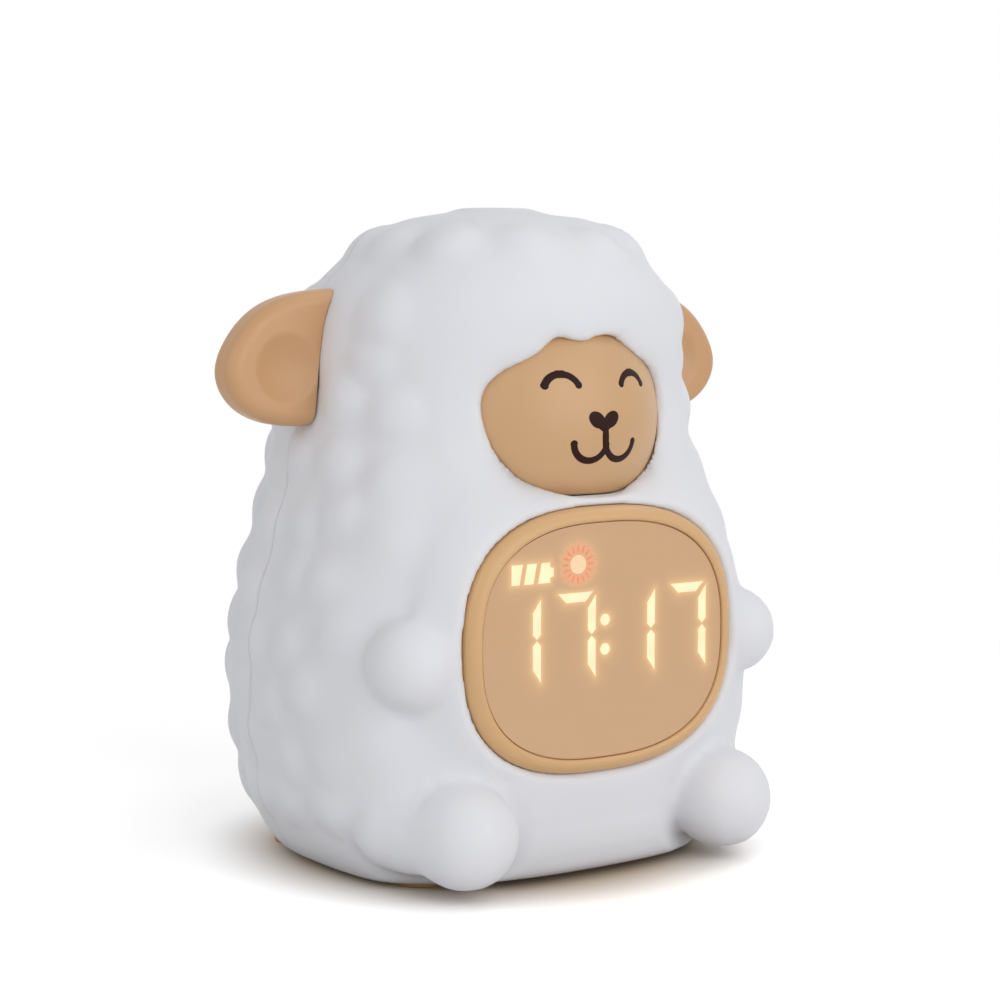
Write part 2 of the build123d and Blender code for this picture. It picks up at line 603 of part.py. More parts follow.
# ---------------------------------------------------------------- hard shell
def make_shells():
    half = {}
    for name, side in (("front", -1), ("rear", 1)):
        posts = FRONT_BASE_POST_AT if side < 0 else REAR_BASE_POST_AT
        with BuildPart() as frame:
            # inner posts and ribs, made long and then trimmed to the shell's form
            with BuildSketch(front(0)):
                with Locations(*SHELL_POSTS):
                    Circle(POST_RADIUS)
            extrude(amount=-side * BODY_WIDTH)
            with BuildSketch(level(SHELL_FLOOR)):
                with Locations((posts[0], posts[1]), (-posts[0], posts[1])):
                    Circle(POST_RADIUS)
                for mirrored in (-1, 1):
                    with Locations((mirrored * (posts[0] + BODY_WIDTH / 4), posts[1])):
                        Rectangle(BODY_WIDTH / 2, RIB_THICKNESS)
            extrude(amount=BASE_POST_HEIGHT)
            with BuildSketch(level(DISH_Z)):
                for mirrored in (-1, 1):
                    middle = mirrored * (DISH_RADIUS - BRACKET_UNDER + BODY_WIDTH / 4)
                    with Locations((middle, side * BRACKET_WIDTH)):
                        Rectangle(BODY_WIDTH / 2, BRACKET_WIDTH)
            extrude(amount=-BRACKET_THICKNESS)
            # flat seats for the washers of the ears
            for outward in (-1, 1):
                with BuildSketch(ear_plane(outward * WASHER_X)):
                    RectangleRounded(WASHER_HEIGHT, WASHER_WIDTH, WASHER_BORDER)
                extrude(amount=outward * BODY_WIDTH / 4)
            if side > 0:
                with BuildSketch(rear(MAIN_BOARD_DEPTH)):
                    with Locations(*BOARD_SCREWS):
                        Circle(BOSS_RADIUS)
                extrude(amount=-BODY_WIDTH / 2)
            add(SHELL_FORM, mode=Mode.INTERSECT)
        with BuildPart() as shell:
            add(SHELL_FORM)
            add(HOLLOW_FORM, mode=Mode.SUBTRACT)
            add(frame.part)
            split(bisect_by=front(0), keep=Keep.TOP if side < 0 else Keep.BOTTOM)
            with BuildSketch(ear_plane()):
                SlotOverall(EAR_STEM_HEIGHT + 2 * FIT, EAR_STEM_THICKNESS + 2 * FIT)
            extrude(amount=BODY_WIDTH / 2, both=True, mode=Mode.SUBTRACT)
            with BuildSketch(level(SHELL_FLOOR)):
                with Locations((posts[0], posts[1]), (-posts[0], posts[1])):
                    Circle(SHELL_SCREW_RADIUS)
            extrude(amount=BASE_SCREW_LENGTH + FIT, mode=Mode.SUBTRACT)
            if side < 0:
                with BuildSketch(front(0)):
                    with Locations(*SHELL_POSTS):
                        Circle(SHELL_SCREW_RADIUS)
                extrude(amount=SHELL_SCREW_LENGTH, mode=Mode.SUBTRACT)
                with BuildSketch(front(FACE_SKIRT_DEPTH - SHELL_WALL, FACE_Z)):
                    add(face_face(-FIT))
                extrude(amount=BELLY_DEPTH, mode=Mode.SUBTRACT)
                with BuildSketch(front(BEZEL_FRONT - BEZEL_DEPTH - SHELL_WALL, DISPLAY_Z)):
                    add(display_face(-FIT))
                extrude(amount=BELLY_DEPTH, mode=Mode.SUBTRACT)
            else:
                with BuildSketch(rear(0)):
                    with Locations(*SHELL_POSTS):
                        Circle(SHELL_SCREW_RADIUS)
                extrude(amount=-BODY_WIDTH, mode=Mode.SUBTRACT)
                with BuildSketch(rear(SHELL_SCREW_LAND)):
                    with Locations(*SHELL_POSTS):
                        Circle(BOSS_RADIUS + SLIDING_FIT)
                extrude(amount=-BODY_WIDTH, mode=Mode.SUBTRACT)
                with BuildSketch(rear(MAIN_BOARD_DEPTH - BOARD_THICKNESS)):
                    with Locations(*BOARD_SCREWS):
                        Circle(BOARD_SCREW_RADIUS)
                extrude(amount=-BOARD_SCREW_LENGTH, mode=Mode.SUBTRACT)
                with BuildSketch(rear(PANEL_DEPTH - PANEL_SKIRT - SHELL_WALL, PANEL_Z)):
                    RectangleRounded(PANEL_WIDTH + 2 * FIT, PANEL_HEIGHT + 2 * FIT, PANEL_CORNER + FIT)
                extrude(amount=-BACK_DEPTH, mode=Mode.SUBTRACT)
        half[name] = shell
    keep(half["front"], "front_shell")
    keep(half["rear"], "rear_shell")

    with BuildPart() as shell_screws:
        with BuildSketch(rear(SHELL_SCREW_LAND)):
            with Locations(*SHELL_POSTS):
                Circle(BOSS_RADIUS)
        extrude(amount=-SCREW_HEAD_HEIGHT)
        with BuildSketch(rear(SHELL_SCREW_LAND)):
            with Locations(*SHELL_POSTS):
                Circle(SHELL_SCREW_RADIUS)
        extrude(amount=SHELL_SCREW_LENGTH)
    keep(shell_screws, "shell_screws")


# ---------------------------------------------------------------- base
BASE_SCREW_HEAD = 0.8 * SCREW_HEAD_HEIGHT


def make_base():
    seat = SHELL_FLOOR
    with BuildPart() as base_plate:
        with BuildSketch(level(PAD_HEIGHT)):
            add(closed_face(base_points(-FIT)))
        extrude(amount=seat - PAD_HEIGHT)
        # ring that holds the speaker
        with BuildSketch(level(seat)):
            with Locations((0, SPEAKER_Y)):
                Circle(SPEAKER_RADIUS + FIT + SPEAKER_RING_WALL)
                Circle(SPEAKER_RADIUS + FIT, mode=Mode.SUBTRACT)
        extrude(amount=SPEAKER_HEIGHT / 3)
        with BuildSketch(level(PAD_HEIGHT)):
            with Locations((0, SPEAKER_Y)):
                Circle(GRILLE_HOLE)
                for ring in (1, 2, 3):
                    with PolarLocations(ring * GRILLE_PITCH, 6 * ring):
                        Circle(GRILLE_HOLE)
        extrude(amount=seat - PAD_HEIGHT, mode=Mode.SUBTRACT)
        with BuildSketch(level(PAD_HEIGHT)):
            with Locations(*BASE_POSTS):
                Circle(SHELL_SCREW_RADIUS + SLIDING_FIT / 2)
        extrude(amount=seat - PAD_HEIGHT, mode=Mode.SUBTRACT)
        with BuildSketch(level(PAD_HEIGHT)):
            with Locations(*BASE_POSTS):
                Circle(BOSS_RADIUS + SLIDING_FIT)
        extrude(amount=BASE_SCREW_HEAD, mode=Mode.SUBTRACT)
    keep(base_plate, "base_plate")

    with BuildPart() as foot_pads:
        with BuildSketch(level(0)):
            with Locations(*PADS):
                Circle(PAD_RADIUS)
        extrude(amount=PAD_HEIGHT)
        fillet(foot_pads.edges().group_by(Axis.Z)[0], PAD_HEIGHT / 4)
    keep(foot_pads, "foot_pads")

    head_top = PAD_HEIGHT + BASE_SCREW_HEAD
    with BuildPart() as base_screws:
        with BuildSketch(level(head_top)):
            with Locations(*BASE_POSTS):
                Circle(BOSS_RADIUS)
        extrude(amount=-BASE_SCREW_HEAD)
        with BuildSketch(level(head_top)):
            with Locations(*BASE_POSTS):
                Circle(SHELL_SCREW_RADIUS)
        extrude(amount=SHELL_FLOOR + BASE_SCREW_LENGTH - head_top)
    keep(base_screws, "base_screws")

    with BuildPart() as speaker:
        with BuildSketch(level(seat)):
            with Locations((0, SPEAKER_Y)):
                Circle(SPEAKER_RADIUS)
        extrude(amount=SPEAKER_HEIGHT * 0.25)
        with BuildSketch(level(seat + SPEAKER_HEIGHT * 0.25)):
            with Locations((0, SPEAKER_Y)):
                Circle(SPEAKER_RADIUS - 1)
        extrude(amount=SPEAKER_HEIGHT * 0.35, taper=30)
        with BuildSketch(level(seat + SPEAKER_HEIGHT * 0.6)):
            with Locations((0, SPEAKER_Y)):
                Circle(SPEAKER_RADIUS * 0.62)
        extrude(amount=SPEAKER_HEIGHT * 0.4)
        # the cone, open towards the grille
        with BuildSketch(level(seat)):
            with Locations((0, SPEAKER_Y)):
                Circle(SPEAKER_RADIUS - 2)
        extrude(amount=SPEAKER_HEIGHT * 0.3, taper=45, mode=Mode.SUBTRACT)
    keep(speaker, "speaker")

    with BuildPart() as battery_cradle:
        with BuildSketch(level(seat)):
            with Locations((0, BATTERY_Y)):
                Rectangle(
                    BATTERY_LENGTH + 2 * (FIT + CRADLE_WALL), BATTERY_DEPTH + 2 * (FIT + CRADLE_WALL))
        extrude(amount=CRADLE_WALL + BATTERY_HEIGHT * 0.7)
        with BuildSketch(level(seat + CRADLE_WALL)):
            with Locations((0, BATTERY_Y)):
                Rectangle(BATTERY_LENGTH + 2 * FIT, BATTERY_DEPTH + 2 * FIT)
        extrude(amount=BATTERY_HEIGHT, mode=Mode.SUBTRACT)
        with BuildSketch(level(seat + CRADLE_WALL)):
            with Locations((0, BATTERY_Y)):
                Rectangle(BATTERY_LENGTH * 0.5, BATTERY_DEPTH * 2)
        extrude(amount=BATTERY_HEIGHT, mode=Mode.SUBTRACT)
    keep(battery_cradle, "battery_cradle")

    with BuildPart() as battery:
        with BuildSketch(level(seat + CRADLE_WALL)):
            with Locations((0, BATTERY_Y)):
                Rectangle(BATTERY_LENGTH, BATTERY_DEPTH)
        extrude(amount=BATTERY_HEIGHT)
        fillet(battery.edges().filter_by(Axis.Y), BATTERY_HEIGHT * 0.45)
    keep(battery, "battery")


# ---------------------------------------------------------------- face
def make_face_plate():
    ball_at = (0, AXIS_Y - NOSE_DEPTH + FACE_BALL, FACE_BALL_Z)
    with BuildPart() as inner:
        with BuildSketch(front(FACE_SKIRT_DEPTH, FACE_Z)):
            add(face_face(FACE_WALL))
        extrude(amount=NOSE_DEPTH)
        with Locations(ball_at):
            Sphere(FACE_BALL - FACE_WALL, mode=Mode.INTERSECT)
    with BuildPart() as face_plate:
        with BuildSketch(front(FACE_SKIRT_DEPTH, FACE_Z)):
            add(face_face())
        extrude(amount=NOSE_DEPTH)
        with Locations(ball_at):
            Sphere(FACE_BALL, mode=Mode.INTERSECT)
        dome = face_plate.faces().filter_by(GeomType.SPHERE)[0]
        fillet(dome.edges(), FACE_ROUND)
        add(inner.part, mode=Mode.SUBTRACT)
    keep(face_plate, "face_plate")


# ---------------------------------------------------------------- display
LENS_FRONT = BEZEL_FRONT - LENS_SINK
LENS_BACK = LENS_FRONT - LENS_THICKNESS
LEDGE_FRONT = LENS_BACK - FIT / 3
LEDGE_BACK = LEDGE_FRONT - LEDGE_THICKNESS
MODULE_BACK = LEDGE_FRONT - MODULE_THICKNESS


def segment(length, angle):
    """One bar of a digit, pointed at both ends, about its own middle."""
    half, nib = length / 2, STROKE / 2
    corners = [(-half, 0), (nib - half, nib), (half - nib, nib), (half, 0), (half - nib, -nib),
               (nib - half, -nib)]
    with BuildSketch() as bar:
        Polygon(*corners, rotation=angle)
    return bar.sketch


def segment_places():
    """Middle, length and angle of every bar of the four digits."""
    width, height = DIGIT_WIDTH - STROKE, DIGIT_HEIGHT - STROKE
    flat, upright = width - SEGMENT_GAP, height / 2 - SEGMENT_GAP
    places = []
    for index in range(4):
        middle = DIGIT_PITCH * (index - 1.5) + (COLON_GAP if index > 1 else -COLON_GAP) / 2
        for rise in (-1, 0, 1):
            places.append((middle, rise * height / 2, flat, 0))
        for side in (-1, 1):
            for rise in (-1, 1):
                places.append((middle + side * width / 2, rise * height / 4, upright, 90))
    return places


def window_sketch(grow):
    """Every window of the display, drawn about the middle of the body at table height."""
    with BuildSketch() as windows:
        for x, rise, length, angle in segment_places():
            with Locations((x, DIGIT_Z + rise)):
                add(segment(length, angle))
        for rise in (-1, 1):
            with Locations((0, DIGIT_Z + rise * DOT_SPACING / 2)):
                Circle(DOT_RADIUS)
        for bar in (-1, 0, 1):
            with Locations((BAR_AT[0] + bar * BAR_PITCH, BAR_AT[1])):
                Trapezoid(BAR_SIZE, BAR_HEIGHT, BAR_TAPER, 180 - BAR_TAPER)
        with Locations(SUN_AT):
            Circle(SUN_RADIUS)
        if grow:
            offset(amount=grow, kind=Kind.INTERSECTION)
    return windows.sketch


def make_display():
    with BuildPart() as display_bezel:
        with BuildSketch(front(BEZEL_FRONT, DISPLAY_Z)):
            add(display_face())
            add(display_face(BEZEL_RIM), mode=Mode.SUBTRACT)
        extrude(amount=-BEZEL_DEPTH)
        fillet(display_bezel.edges().group_by(Axis.Y)[0], BEZEL_ROUND)
        with BuildSketch(front(LEDGE_FRONT, DISPLAY_Z)):
            add(display_face(BEZEL_RIM))
            add(display_face(BEZEL_RIM + LEDGE_WIDTH), mode=Mode.SUBTRACT)
        extrude(amount=-LEDGE_THICKNESS)
    keep(display_bezel, "display_bezel")

    with BuildPart() as display_lens:
        with BuildSketch(front(LENS_FRONT, DISPLAY_Z)):
            add(display_face(BEZEL_RIM + LENS_FIT))
        extrude(amount=-LENS_THICKNESS)
        chamfer(display_lens.edges().group_by(Axis.Y)[0], 0.3)
    keep(display_lens, "display_lens")

    with BuildPart() as display_module:
        with BuildSketch(front(LEDGE_FRONT, DISPLAY_Z)):
            add(display_face(BEZEL_RIM + LEDGE_WIDTH + FIT))
        extrude(amount=-MODULE_THICKNESS)
        with BuildSketch(front(LEDGE_FRONT)):
            add(window_sketch(WINDOW_FIT))
        extrude(amount=-WINDOW_DEPTH, mode=Mode.SUBTRACT)
    keep(display_module, "display_module")

    with BuildPart() as display_segments:
        with BuildSketch(front(LEDGE_FRONT)):
            add(window_sketch(0))
        extrude(amount=-WINDOW_DEPTH)
    keep(display_segments, "display_segments")

    with BuildPart() as display_board:
        with BuildSketch(front(MODULE_BACK, DISPLAY_Z)):
            add(display_face(BEZEL_RIM + FIT))
        extrude(amount=-BOARD_THICKNESS)
    keep(display_board, "display_board")

    with BuildPart() as display_retainer:
        with BuildSketch(front(MODULE_BACK - BOARD_THICKNESS, DISPLAY_Z)):
            add(display_face(BEZEL_RIM + FIT))
            add(display_face(BEZEL_RIM + RETAINER_WIDTH), mode=Mode.SUBTRACT)
        extrude(amount=-RETAINER_THICKNESS)
    keep(display_retainer, "display_retainer")


# ---------------------------------------------------------------- controls on the back
PANEL_BACK = PANEL_DEPTH - PANEL_THICKNESS
SWITCH_TOP = MAIN_BOARD_DEPTH + SWITCH_HEIGHT
PLUNGER_TOP = SWITCH_TOP + PLUNGER_HEIGHT
KEY_FLANGE_FRONT = PANEL_BACK - SLIDING_FIT / 2
KEY_FOOT = PLUNGER_TOP + KEY_TRAVEL + SLIDING_FIT


def make_panel():
    slot_middle = KNOB_AT_X + KNOB_TRAVEL / 2
    with BuildPart() as rear_panel:
        with BuildSketch(rear(PANEL_DEPTH, PANEL_Z)):
            RectangleRounded(PANEL_WIDTH, PANEL_HEIGHT, PANEL_CORNER)
        extrude(amount=PANEL_SKIRT)
        with BuildSketch(rear(PANEL_BACK, PANEL_Z)):
            RectangleRounded(
                PANEL_WIDTH - 2 * PANEL_SKIRT_WALL, PANEL_HEIGHT - 2 * PANEL_SKIRT_WALL,
                PANEL_CORNER - PANEL_SKIRT_WALL)
        extrude(amount=PANEL_SKIRT, mode=Mode.SUBTRACT)
        with BuildSketch(rear(PANEL_DEPTH)):
            with Locations(*PANEL_KEYS):
                Circle(KEY_RADIUS + SLIDING_FIT)
            with Locations((slot_middle, LOWER_ROW_Z)):
                Rectangle(
                    KNOB_LENGTH + KNOB_TRAVEL + 2 * SLIDING_FIT, KNOB_HEIGHT + 2 * SLIDING_FIT)
            with Locations((USB_AT_X, LOWER_ROW_Z)):
                SlotOverall(USB_WIDTH + 2 * SLIDING_FIT, USB_HEIGHT + 2 * SLIDING_FIT)
        extrude(amount=PANEL_THICKNESS, mode=Mode.SUBTRACT)
    keep(rear_panel, "rear_panel")

    for name, (x, z) in zip(KEY_NAMES, PANEL_KEYS):
        with BuildPart() as key:
            with BuildSketch(rear(PANEL_DEPTH + KEY_PROUD)):
                with Locations((x, z)):
                    Circle(KEY_RADIUS)
            extrude(amount=KEY_PROUD + PANEL_DEPTH - KEY_FLANGE_FRONT)
            fillet(key.edges().group_by(Axis.Y)[-1], KEY_ROUND)
            with BuildSketch(rear(KEY_FLANGE_FRONT)):
                with Locations((x, z)):
                    Circle(KEY_RADIUS + KEY_FLANGE)
            extrude(amount=KEY_FLANGE)
            with BuildSketch(rear(KEY_FLANGE_FRONT - KEY_FLANGE)):
                with Locations((x, z)):
                    Circle(PLUNGER_RADIUS)
            extrude(amount=KEY_FLANGE_FRONT - KEY_FLANGE - KEY_FOOT)
        keep(key, name)

    with BuildPart() as switch_knob:
        with BuildSketch(rear(PANEL_DEPTH + KNOB_PROUD)):
            with Locations((KNOB_AT_X, LOWER_ROW_Z)):
                Rectangle(KNOB_LENGTH, KNOB_HEIGHT)
        extrude(amount=KNOB_PROUD + PANEL_DEPTH - KEY_FLANGE_FRONT)
        with BuildSketch(rear(KEY_FLANGE_FRONT)):
            with Locations((KNOB_AT_X, LOWER_ROW_Z)):
                Rectangle(KNOB_LENGTH + 2 * KNOB_FLANGE_REACH, KNOB_HEIGHT + 1.6 * KNOB_FLANGE)
        extrude(amount=KNOB_FLANGE)
        with BuildSketch(rear(KEY_FLANGE_FRONT - KNOB_FLANGE)):
            with Locations((KNOB_AT_X, LOWER_ROW_Z)):
                Rectangle(KNOB_LENGTH / 2, KNOB_HEIGHT / 2)
        extrude(
            amount=KEY_FLANGE_FRONT - KNOB_FLANGE - MAIN_BOARD_DEPTH - SLIDER_DEPTH - SLIDING_FIT)
    keep(switch_knob, "switch_knob")


def make_main_board():
    with BuildPart() as main_board:
        with BuildSketch(rear(MAIN_BOARD_DEPTH)):
            with Locations((0, PANEL_Z)):
                Rectangle(MAIN_BOARD_WIDTH, MAIN_BOARD_HEIGHT)
            with Locations(*BOARD_SCREWS):
                Circle(BOARD_SCREW_RADIUS + SLIDING_FIT / 2, mode=Mode.SUBTRACT)
        extrude(amount=BOARD_THICKNESS)
    keep(main_board, "main_board")

    with BuildPart() as board_screws:
        with BuildSketch(rear(MAIN_BOARD_DEPTH - BOARD_THICKNESS)):
            with Locations(*BOARD_SCREWS):
                Circle(BOARD_SCREW_RADIUS * 2)
        extrude(amount=SCREW_HEAD_HEIGHT)
        with BuildSketch(rear(MAIN_BOARD_DEPTH - BOARD_THICKNESS)):
            with Locations(*BOARD_SCREWS):
                Circle(BOARD_SCREW_RADIUS)
        extrude(amount=-BOARD_SCREW_LENGTH)
    keep(board_screws, "board_screws")

    with BuildPart() as key_switches:
        with BuildSketch(rear(MAIN_BOARD_DEPTH)):
            with Locations(*PANEL_KEYS):
                Rectangle(SWITCH_SIZE, SWITCH_SIZE)
        extrude(amount=-SWITCH_HEIGHT)
        with BuildSketch(rear(SWITCH_TOP)):
            with Locations(*PANEL_KEYS):
                Circle(PLUNGER_RADIUS)
        extrude(amount=-PLUNGER_HEIGHT)
    keep(key_switches, "key_switches")

    with BuildPart() as slide_switch:
        with BuildSketch(rear(MAIN_BOARD_DEPTH)):
            with Locations((KNOB_AT_X + KNOB_TRAVEL / 2, LOWER_ROW_Z)):
                Rectangle(SLIDER_LENGTH, SLIDER_HEIGHT)
        extrude(amount=-SLIDER_DEPTH)
    keep(slide_switch, "slide_switch")

    mouth = PANEL_DEPTH - USB_SINK
    with BuildPart() as usb_socket:
        with BuildSketch(rear(MAIN_BOARD_DEPTH)):
            with Locations((USB_AT_X, LOWER_ROW_Z)):
                SlotOverall(USB_WIDTH, USB_HEIGHT)
        extrude(amount=-(mouth - MAIN_BOARD_DEPTH))
        with BuildSketch(rear(mouth)):
            with Locations((USB_AT_X, LOWER_ROW_Z)):
                SlotOverall(USB_WIDTH - 2 * USB_WALL, USB_HEIGHT - 2 * USB_WALL)
                SlotOverall(USB_WIDTH - USB_HEIGHT + USB_TONGUE, USB_TONGUE, mode=Mode.SUBTRACT)
        extrude(amount=mouth - MAIN_BOARD_DEPTH - USB_WALL, mode=Mode.SUBTRACT)
    keep(usb_socket, "usb_socket")


# ---------------------------------------------------------------- night light
def make_lamp():
    with BuildPart() as light_reflector:
        with BuildSketch(level(DISH_Z)):
            Circle(DISH_RADIUS - DISH_FLARE)
        with BuildSketch(level(DISH_Z + DISH_RIM)):
            Circle(DISH_RADIUS)
        loft()
        with BuildSketch(level(DISH_Z + DISH_THICKNESS)):
            Circle(DISH_RADIUS - DISH_FLARE - DISH_THICKNESS)
        with BuildSketch(level(DISH_Z + DISH_RIM)):
            Circle(DISH_RADIUS - DISH_THICKNESS)
        loft(mode=Mode.SUBTRACT)
    keep(light_reflector, "light_reflector")

    board_top = DISH_Z + DISH_THICKNESS + BOARD_THICKNESS
    with BuildPart() as light_board:
        with BuildSketch(level(DISH_Z + DISH_THICKNESS)):
            Circle(LIGHT_BOARD_RADIUS)
        extrude(amount=BOARD_THICKNESS)
    keep(light_board, "light_board")

    with BuildPart() as light_leds:
        with BuildSketch(level(board_top)):
            with PolarLocations(LED_RING, LED_COUNT):
                Rectangle(LED_SIZE, LED_SIZE)
        extrude(amount=LED_HEIGHT)
    keep(light_leds, "light_leds")

    with BuildPart() as tap_sensor:
        with BuildSketch(level(board_top)):
            Circle(SENSOR_RADIUS)
        extrude(amount=SENSOR_HEIGHT)
        fillet(tap_sensor.edges().group_by(Axis.Z)[-1], 0.6)
    keep(tap_sensor, "tap_sensor")


make_skin()
make_ears()
make_face_plate()
make_display()
make_shells()
make_base()
make_panel()
make_main_board()
make_lamp()

os.makedirs("parts", exist_ok=True)
for piece in PIECES:
    export_step(piece, f"parts/{piece.label}.step")
    print(piece.label, len(piece.solids()), round(piece.volume, 1))
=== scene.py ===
# %% [markdown]
# # A sheep-shaped alarm clock, dressed for its picture
# The clock's solids come ready made, in metres, with the face towards -Y. This lesson gives them
# their finishes, melts the skin's lumps into soft silicone wool, prints the face, lights the
# display and sets up camera and lamps. Nothing here moves a solid: new pieces ride on its bodies.

# %% Load the frame
import bpy
from math import atan2, cos, degrees, pi, radians, sin
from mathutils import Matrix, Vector, noise


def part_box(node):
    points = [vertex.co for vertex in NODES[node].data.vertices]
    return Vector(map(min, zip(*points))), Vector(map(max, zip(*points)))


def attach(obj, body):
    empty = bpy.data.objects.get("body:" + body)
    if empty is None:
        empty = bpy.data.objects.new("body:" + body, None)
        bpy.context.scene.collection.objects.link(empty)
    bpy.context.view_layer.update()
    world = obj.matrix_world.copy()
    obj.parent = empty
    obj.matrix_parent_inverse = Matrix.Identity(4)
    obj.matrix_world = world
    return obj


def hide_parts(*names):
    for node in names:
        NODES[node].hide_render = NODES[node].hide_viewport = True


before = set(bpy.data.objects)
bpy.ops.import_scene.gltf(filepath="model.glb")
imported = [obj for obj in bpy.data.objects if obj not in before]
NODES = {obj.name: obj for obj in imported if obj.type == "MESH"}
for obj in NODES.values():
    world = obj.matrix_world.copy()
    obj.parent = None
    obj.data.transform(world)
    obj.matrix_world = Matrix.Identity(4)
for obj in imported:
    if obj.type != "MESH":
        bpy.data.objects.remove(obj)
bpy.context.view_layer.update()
MM = 0.001
sensor_low, sensor_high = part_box("tap_sensor")
AXIS_Y = (sensor_low.y + sensor_high.y) / 2        # the upright axis of the clock's body
print("nodes", len(NODES), "axis at y", round(AXIS_Y / MM, 3), "mm")

# %% [markdown]
# ## Small helpers
# Sizes are easier to read in millimetres, so one function turns x, depth and height into a place
# and another goes back: depth is measured forwards from the body's axis, towards the viewer.
# Colours are written as sRGB hex, as a paint chart gives them, and one function makes them linear.


# %% Places and colours
def at(x, depth, height):
    """A place in metres, from millimetres right of, in front of and above the clock's foot."""
    return Vector((x * MM, AXIS_Y - depth * MM, height * MM))


def in_mm(place):
    """The way back: x, depth and height in millimetres."""
    return place.x / MM, (AXIS_Y - place.y) / MM, place.z / MM


def on_right(place):
    """The same in one vector, on the clock's right half, because the limbs come in pairs."""
    x, depth, height = in_mm(place)
    return Vector((abs(x), depth, height))


def linear(hex_colour):
    """An sRGB hex colour as linear RGBA."""
    channels = [int(hex_colour[i:i + 2], 16) / 255 for i in (1, 3, 5)]
    return [c / 12.92 if c <= 0.04045 else ((c + 0.055) / 1.055) ** 2.4 for c in channels] + [1.0]


# %% [markdown]
# ## One function for every shader node
# A material is a small network. Each call below adds one node, sets its options, and fills its
# inputs with a value or with another node's output. A Mix node has several inputs of one name, so
# its two colours are given by their numbers, 6 and 7.


# %% Add a node
def add_node(tree, kind, inputs=None, **options):
    """A node of a kind, its options set, its inputs given as values or as sockets to link."""
    node = tree.nodes.new(kind)
    for name, value in options.items():
        setattr(node, name, value)
    for name, value in (inputs or {}).items():
        if isinstance(value, bpy.types.NodeSocket):
            tree.links.new(value, node.inputs[name])
        else:
            node.inputs[name].default_value = value
    return node


def new_material(name):
    """An empty material, its tree, and the place on the piece that patterns are drawn from."""
    material = bpy.data.materials.new(name)
    material.use_nodes = True
    tree = material.node_tree
    tree.nodes.clear()
    return material, tree, add_node(tree, "ShaderNodeTexCoord").outputs["Object"]


def show(material, shader):
    """Join the last shader to the material's output."""
    add_node(material.node_tree, "ShaderNodeOutputMaterial", {"Surface": shader.outputs[0]})
    return material


def grained(tree, place, size, detail, rough, strength, depth):
    """Roughness and normal of a grain, its size and depth in mm, as inputs for a shader."""
    grain = add_node(tree, "ShaderNodeTexNoise", {
        "Vector": place, "Scale": 1 / (size * MM), "Detail": detail})
    wander = add_node(tree, "ShaderNodeMapRange", {
        "Value": grain.outputs["Fac"], "To Min": rough[0], "To Max": rough[1]})
    bump = add_node(tree, "ShaderNodeBump", {
        "Height": grain.outputs["Fac"], "Strength": strength, "Distance": depth * MM})
    return {"Roughness": wander.outputs["Result"], "Normal": bump.outputs["Normal"]}


# %% [markdown]
# ## Moulded plastic and rubber
# Most of the clock is injection moulded. The tool's steel is lightly sandblasted, so the
# plastic comes out with a fine satin grain, and thick and thin places cool to very slightly
# different shades. So a moulded finish is one colour with a slow drift in lightness, a roughness
# that wanders a little, and a grain that softens the highlight. The real grain is about 0.1 mm;
# it is drawn at 0.35 mm, the finest that shows. The speaker's paper and the battery's foil are
# hidden inside and near enough to take the same network.

# %% A moulded finish
DRIFT_SIZE, COLOUR_DRIFT = 18, 0.04     # mm between light and dark places, share of the colour
GRAIN_SIZE, GRAIN_DEPTH = 0.35, 0.02    # mm


def moulded(name, colour, roughness, ior=1.5, scatter=0.0, grain=GRAIN_SIZE):
    """Satin plastic or rubber: colour drift, roughness drift and a fine grain."""
    material, tree, place = new_material(name)
    slow = add_node(tree, "ShaderNodeTexNoise", {
        "Vector": place, "Scale": 1 / (DRIFT_SIZE * MM), "Detail": 2.0})
    fine = add_node(tree, "ShaderNodeTexNoise", {
        "Vector": place, "Scale": 1 / (grain * MM), "Detail": 1.0})
    base = linear(colour)[:3]
    shade = add_node(tree, "ShaderNodeMix", {
        "Factor": slow.outputs["Fac"], 6: [c * (1 - COLOUR_DRIFT) for c in base] + [1.0],
        7: [min(1.0, c * (1 + COLOUR_DRIFT)) for c in base] + [1.0]}, data_type="RGBA")
    rough = add_node(tree, "ShaderNodeMapRange", {
        "Value": slow.outputs["Fac"], "To Min": roughness - 0.04, "To Max": roughness + 0.04})
    bump = add_node(tree, "ShaderNodeBump", {
        "Height": fine.outputs["Fac"], "Strength": 0.35, "Distance": GRAIN_DEPTH * MM})
    shader = add_node(tree, "ShaderNodeBsdfPrincipled", {
        "Base Color": shade.outputs[2], "Roughness": rough.outputs["Result"],
        "Normal": bump.outputs["Normal"], "IOR": ior, "Subsurface Weight": scatter,
        "Subsurface Scale": 2.5 * MM, "Subsurface Radius": (1.0, 0.9, 0.85)})
    return show(material, shader)


tan_abs = moulded("satin_tan_abs", "#CB9D70", 0.42)
face_abs = moulded("satin_face_abs", "#CEA578", 0.40)
bezel_abs = moulded("satin_bezel_abs", "#D7AC79", 0.36)
cream_abs = moulded("satin_cream_abs", "#EFE3CF", 0.42)
cream_rubber = moulded("cream_silicone_rubber", "#F1E6D4", 0.55, ior=1.43, scatter=0.1)
tan_rubber = moulded("tan_foot_rubber", "#B98F66", 0.7, ior=1.45)
milky_pp = moulded("milky_polypropylene", "#EFEFEA", 0.45, scatter=0.25)
switch_black = moulded("black_glass_filled_nylon", "#1C1C1E", 0.5)
reflector_white = moulded("white_reflector_abs", "#F4F4F1", 0.3)
mask_abs = moulded("tan_display_mask_abs", "#C9A882", 0.5)
speaker_black = moulded("black_paper_and_ferrite", "#232326", 0.6)
battery_wrap = moulded("silver_pouch_foil", "#B9BDC2", 0.3)
print("tan of the ears, linear", [round(c, 3) for c in linear("#CB9D70")])

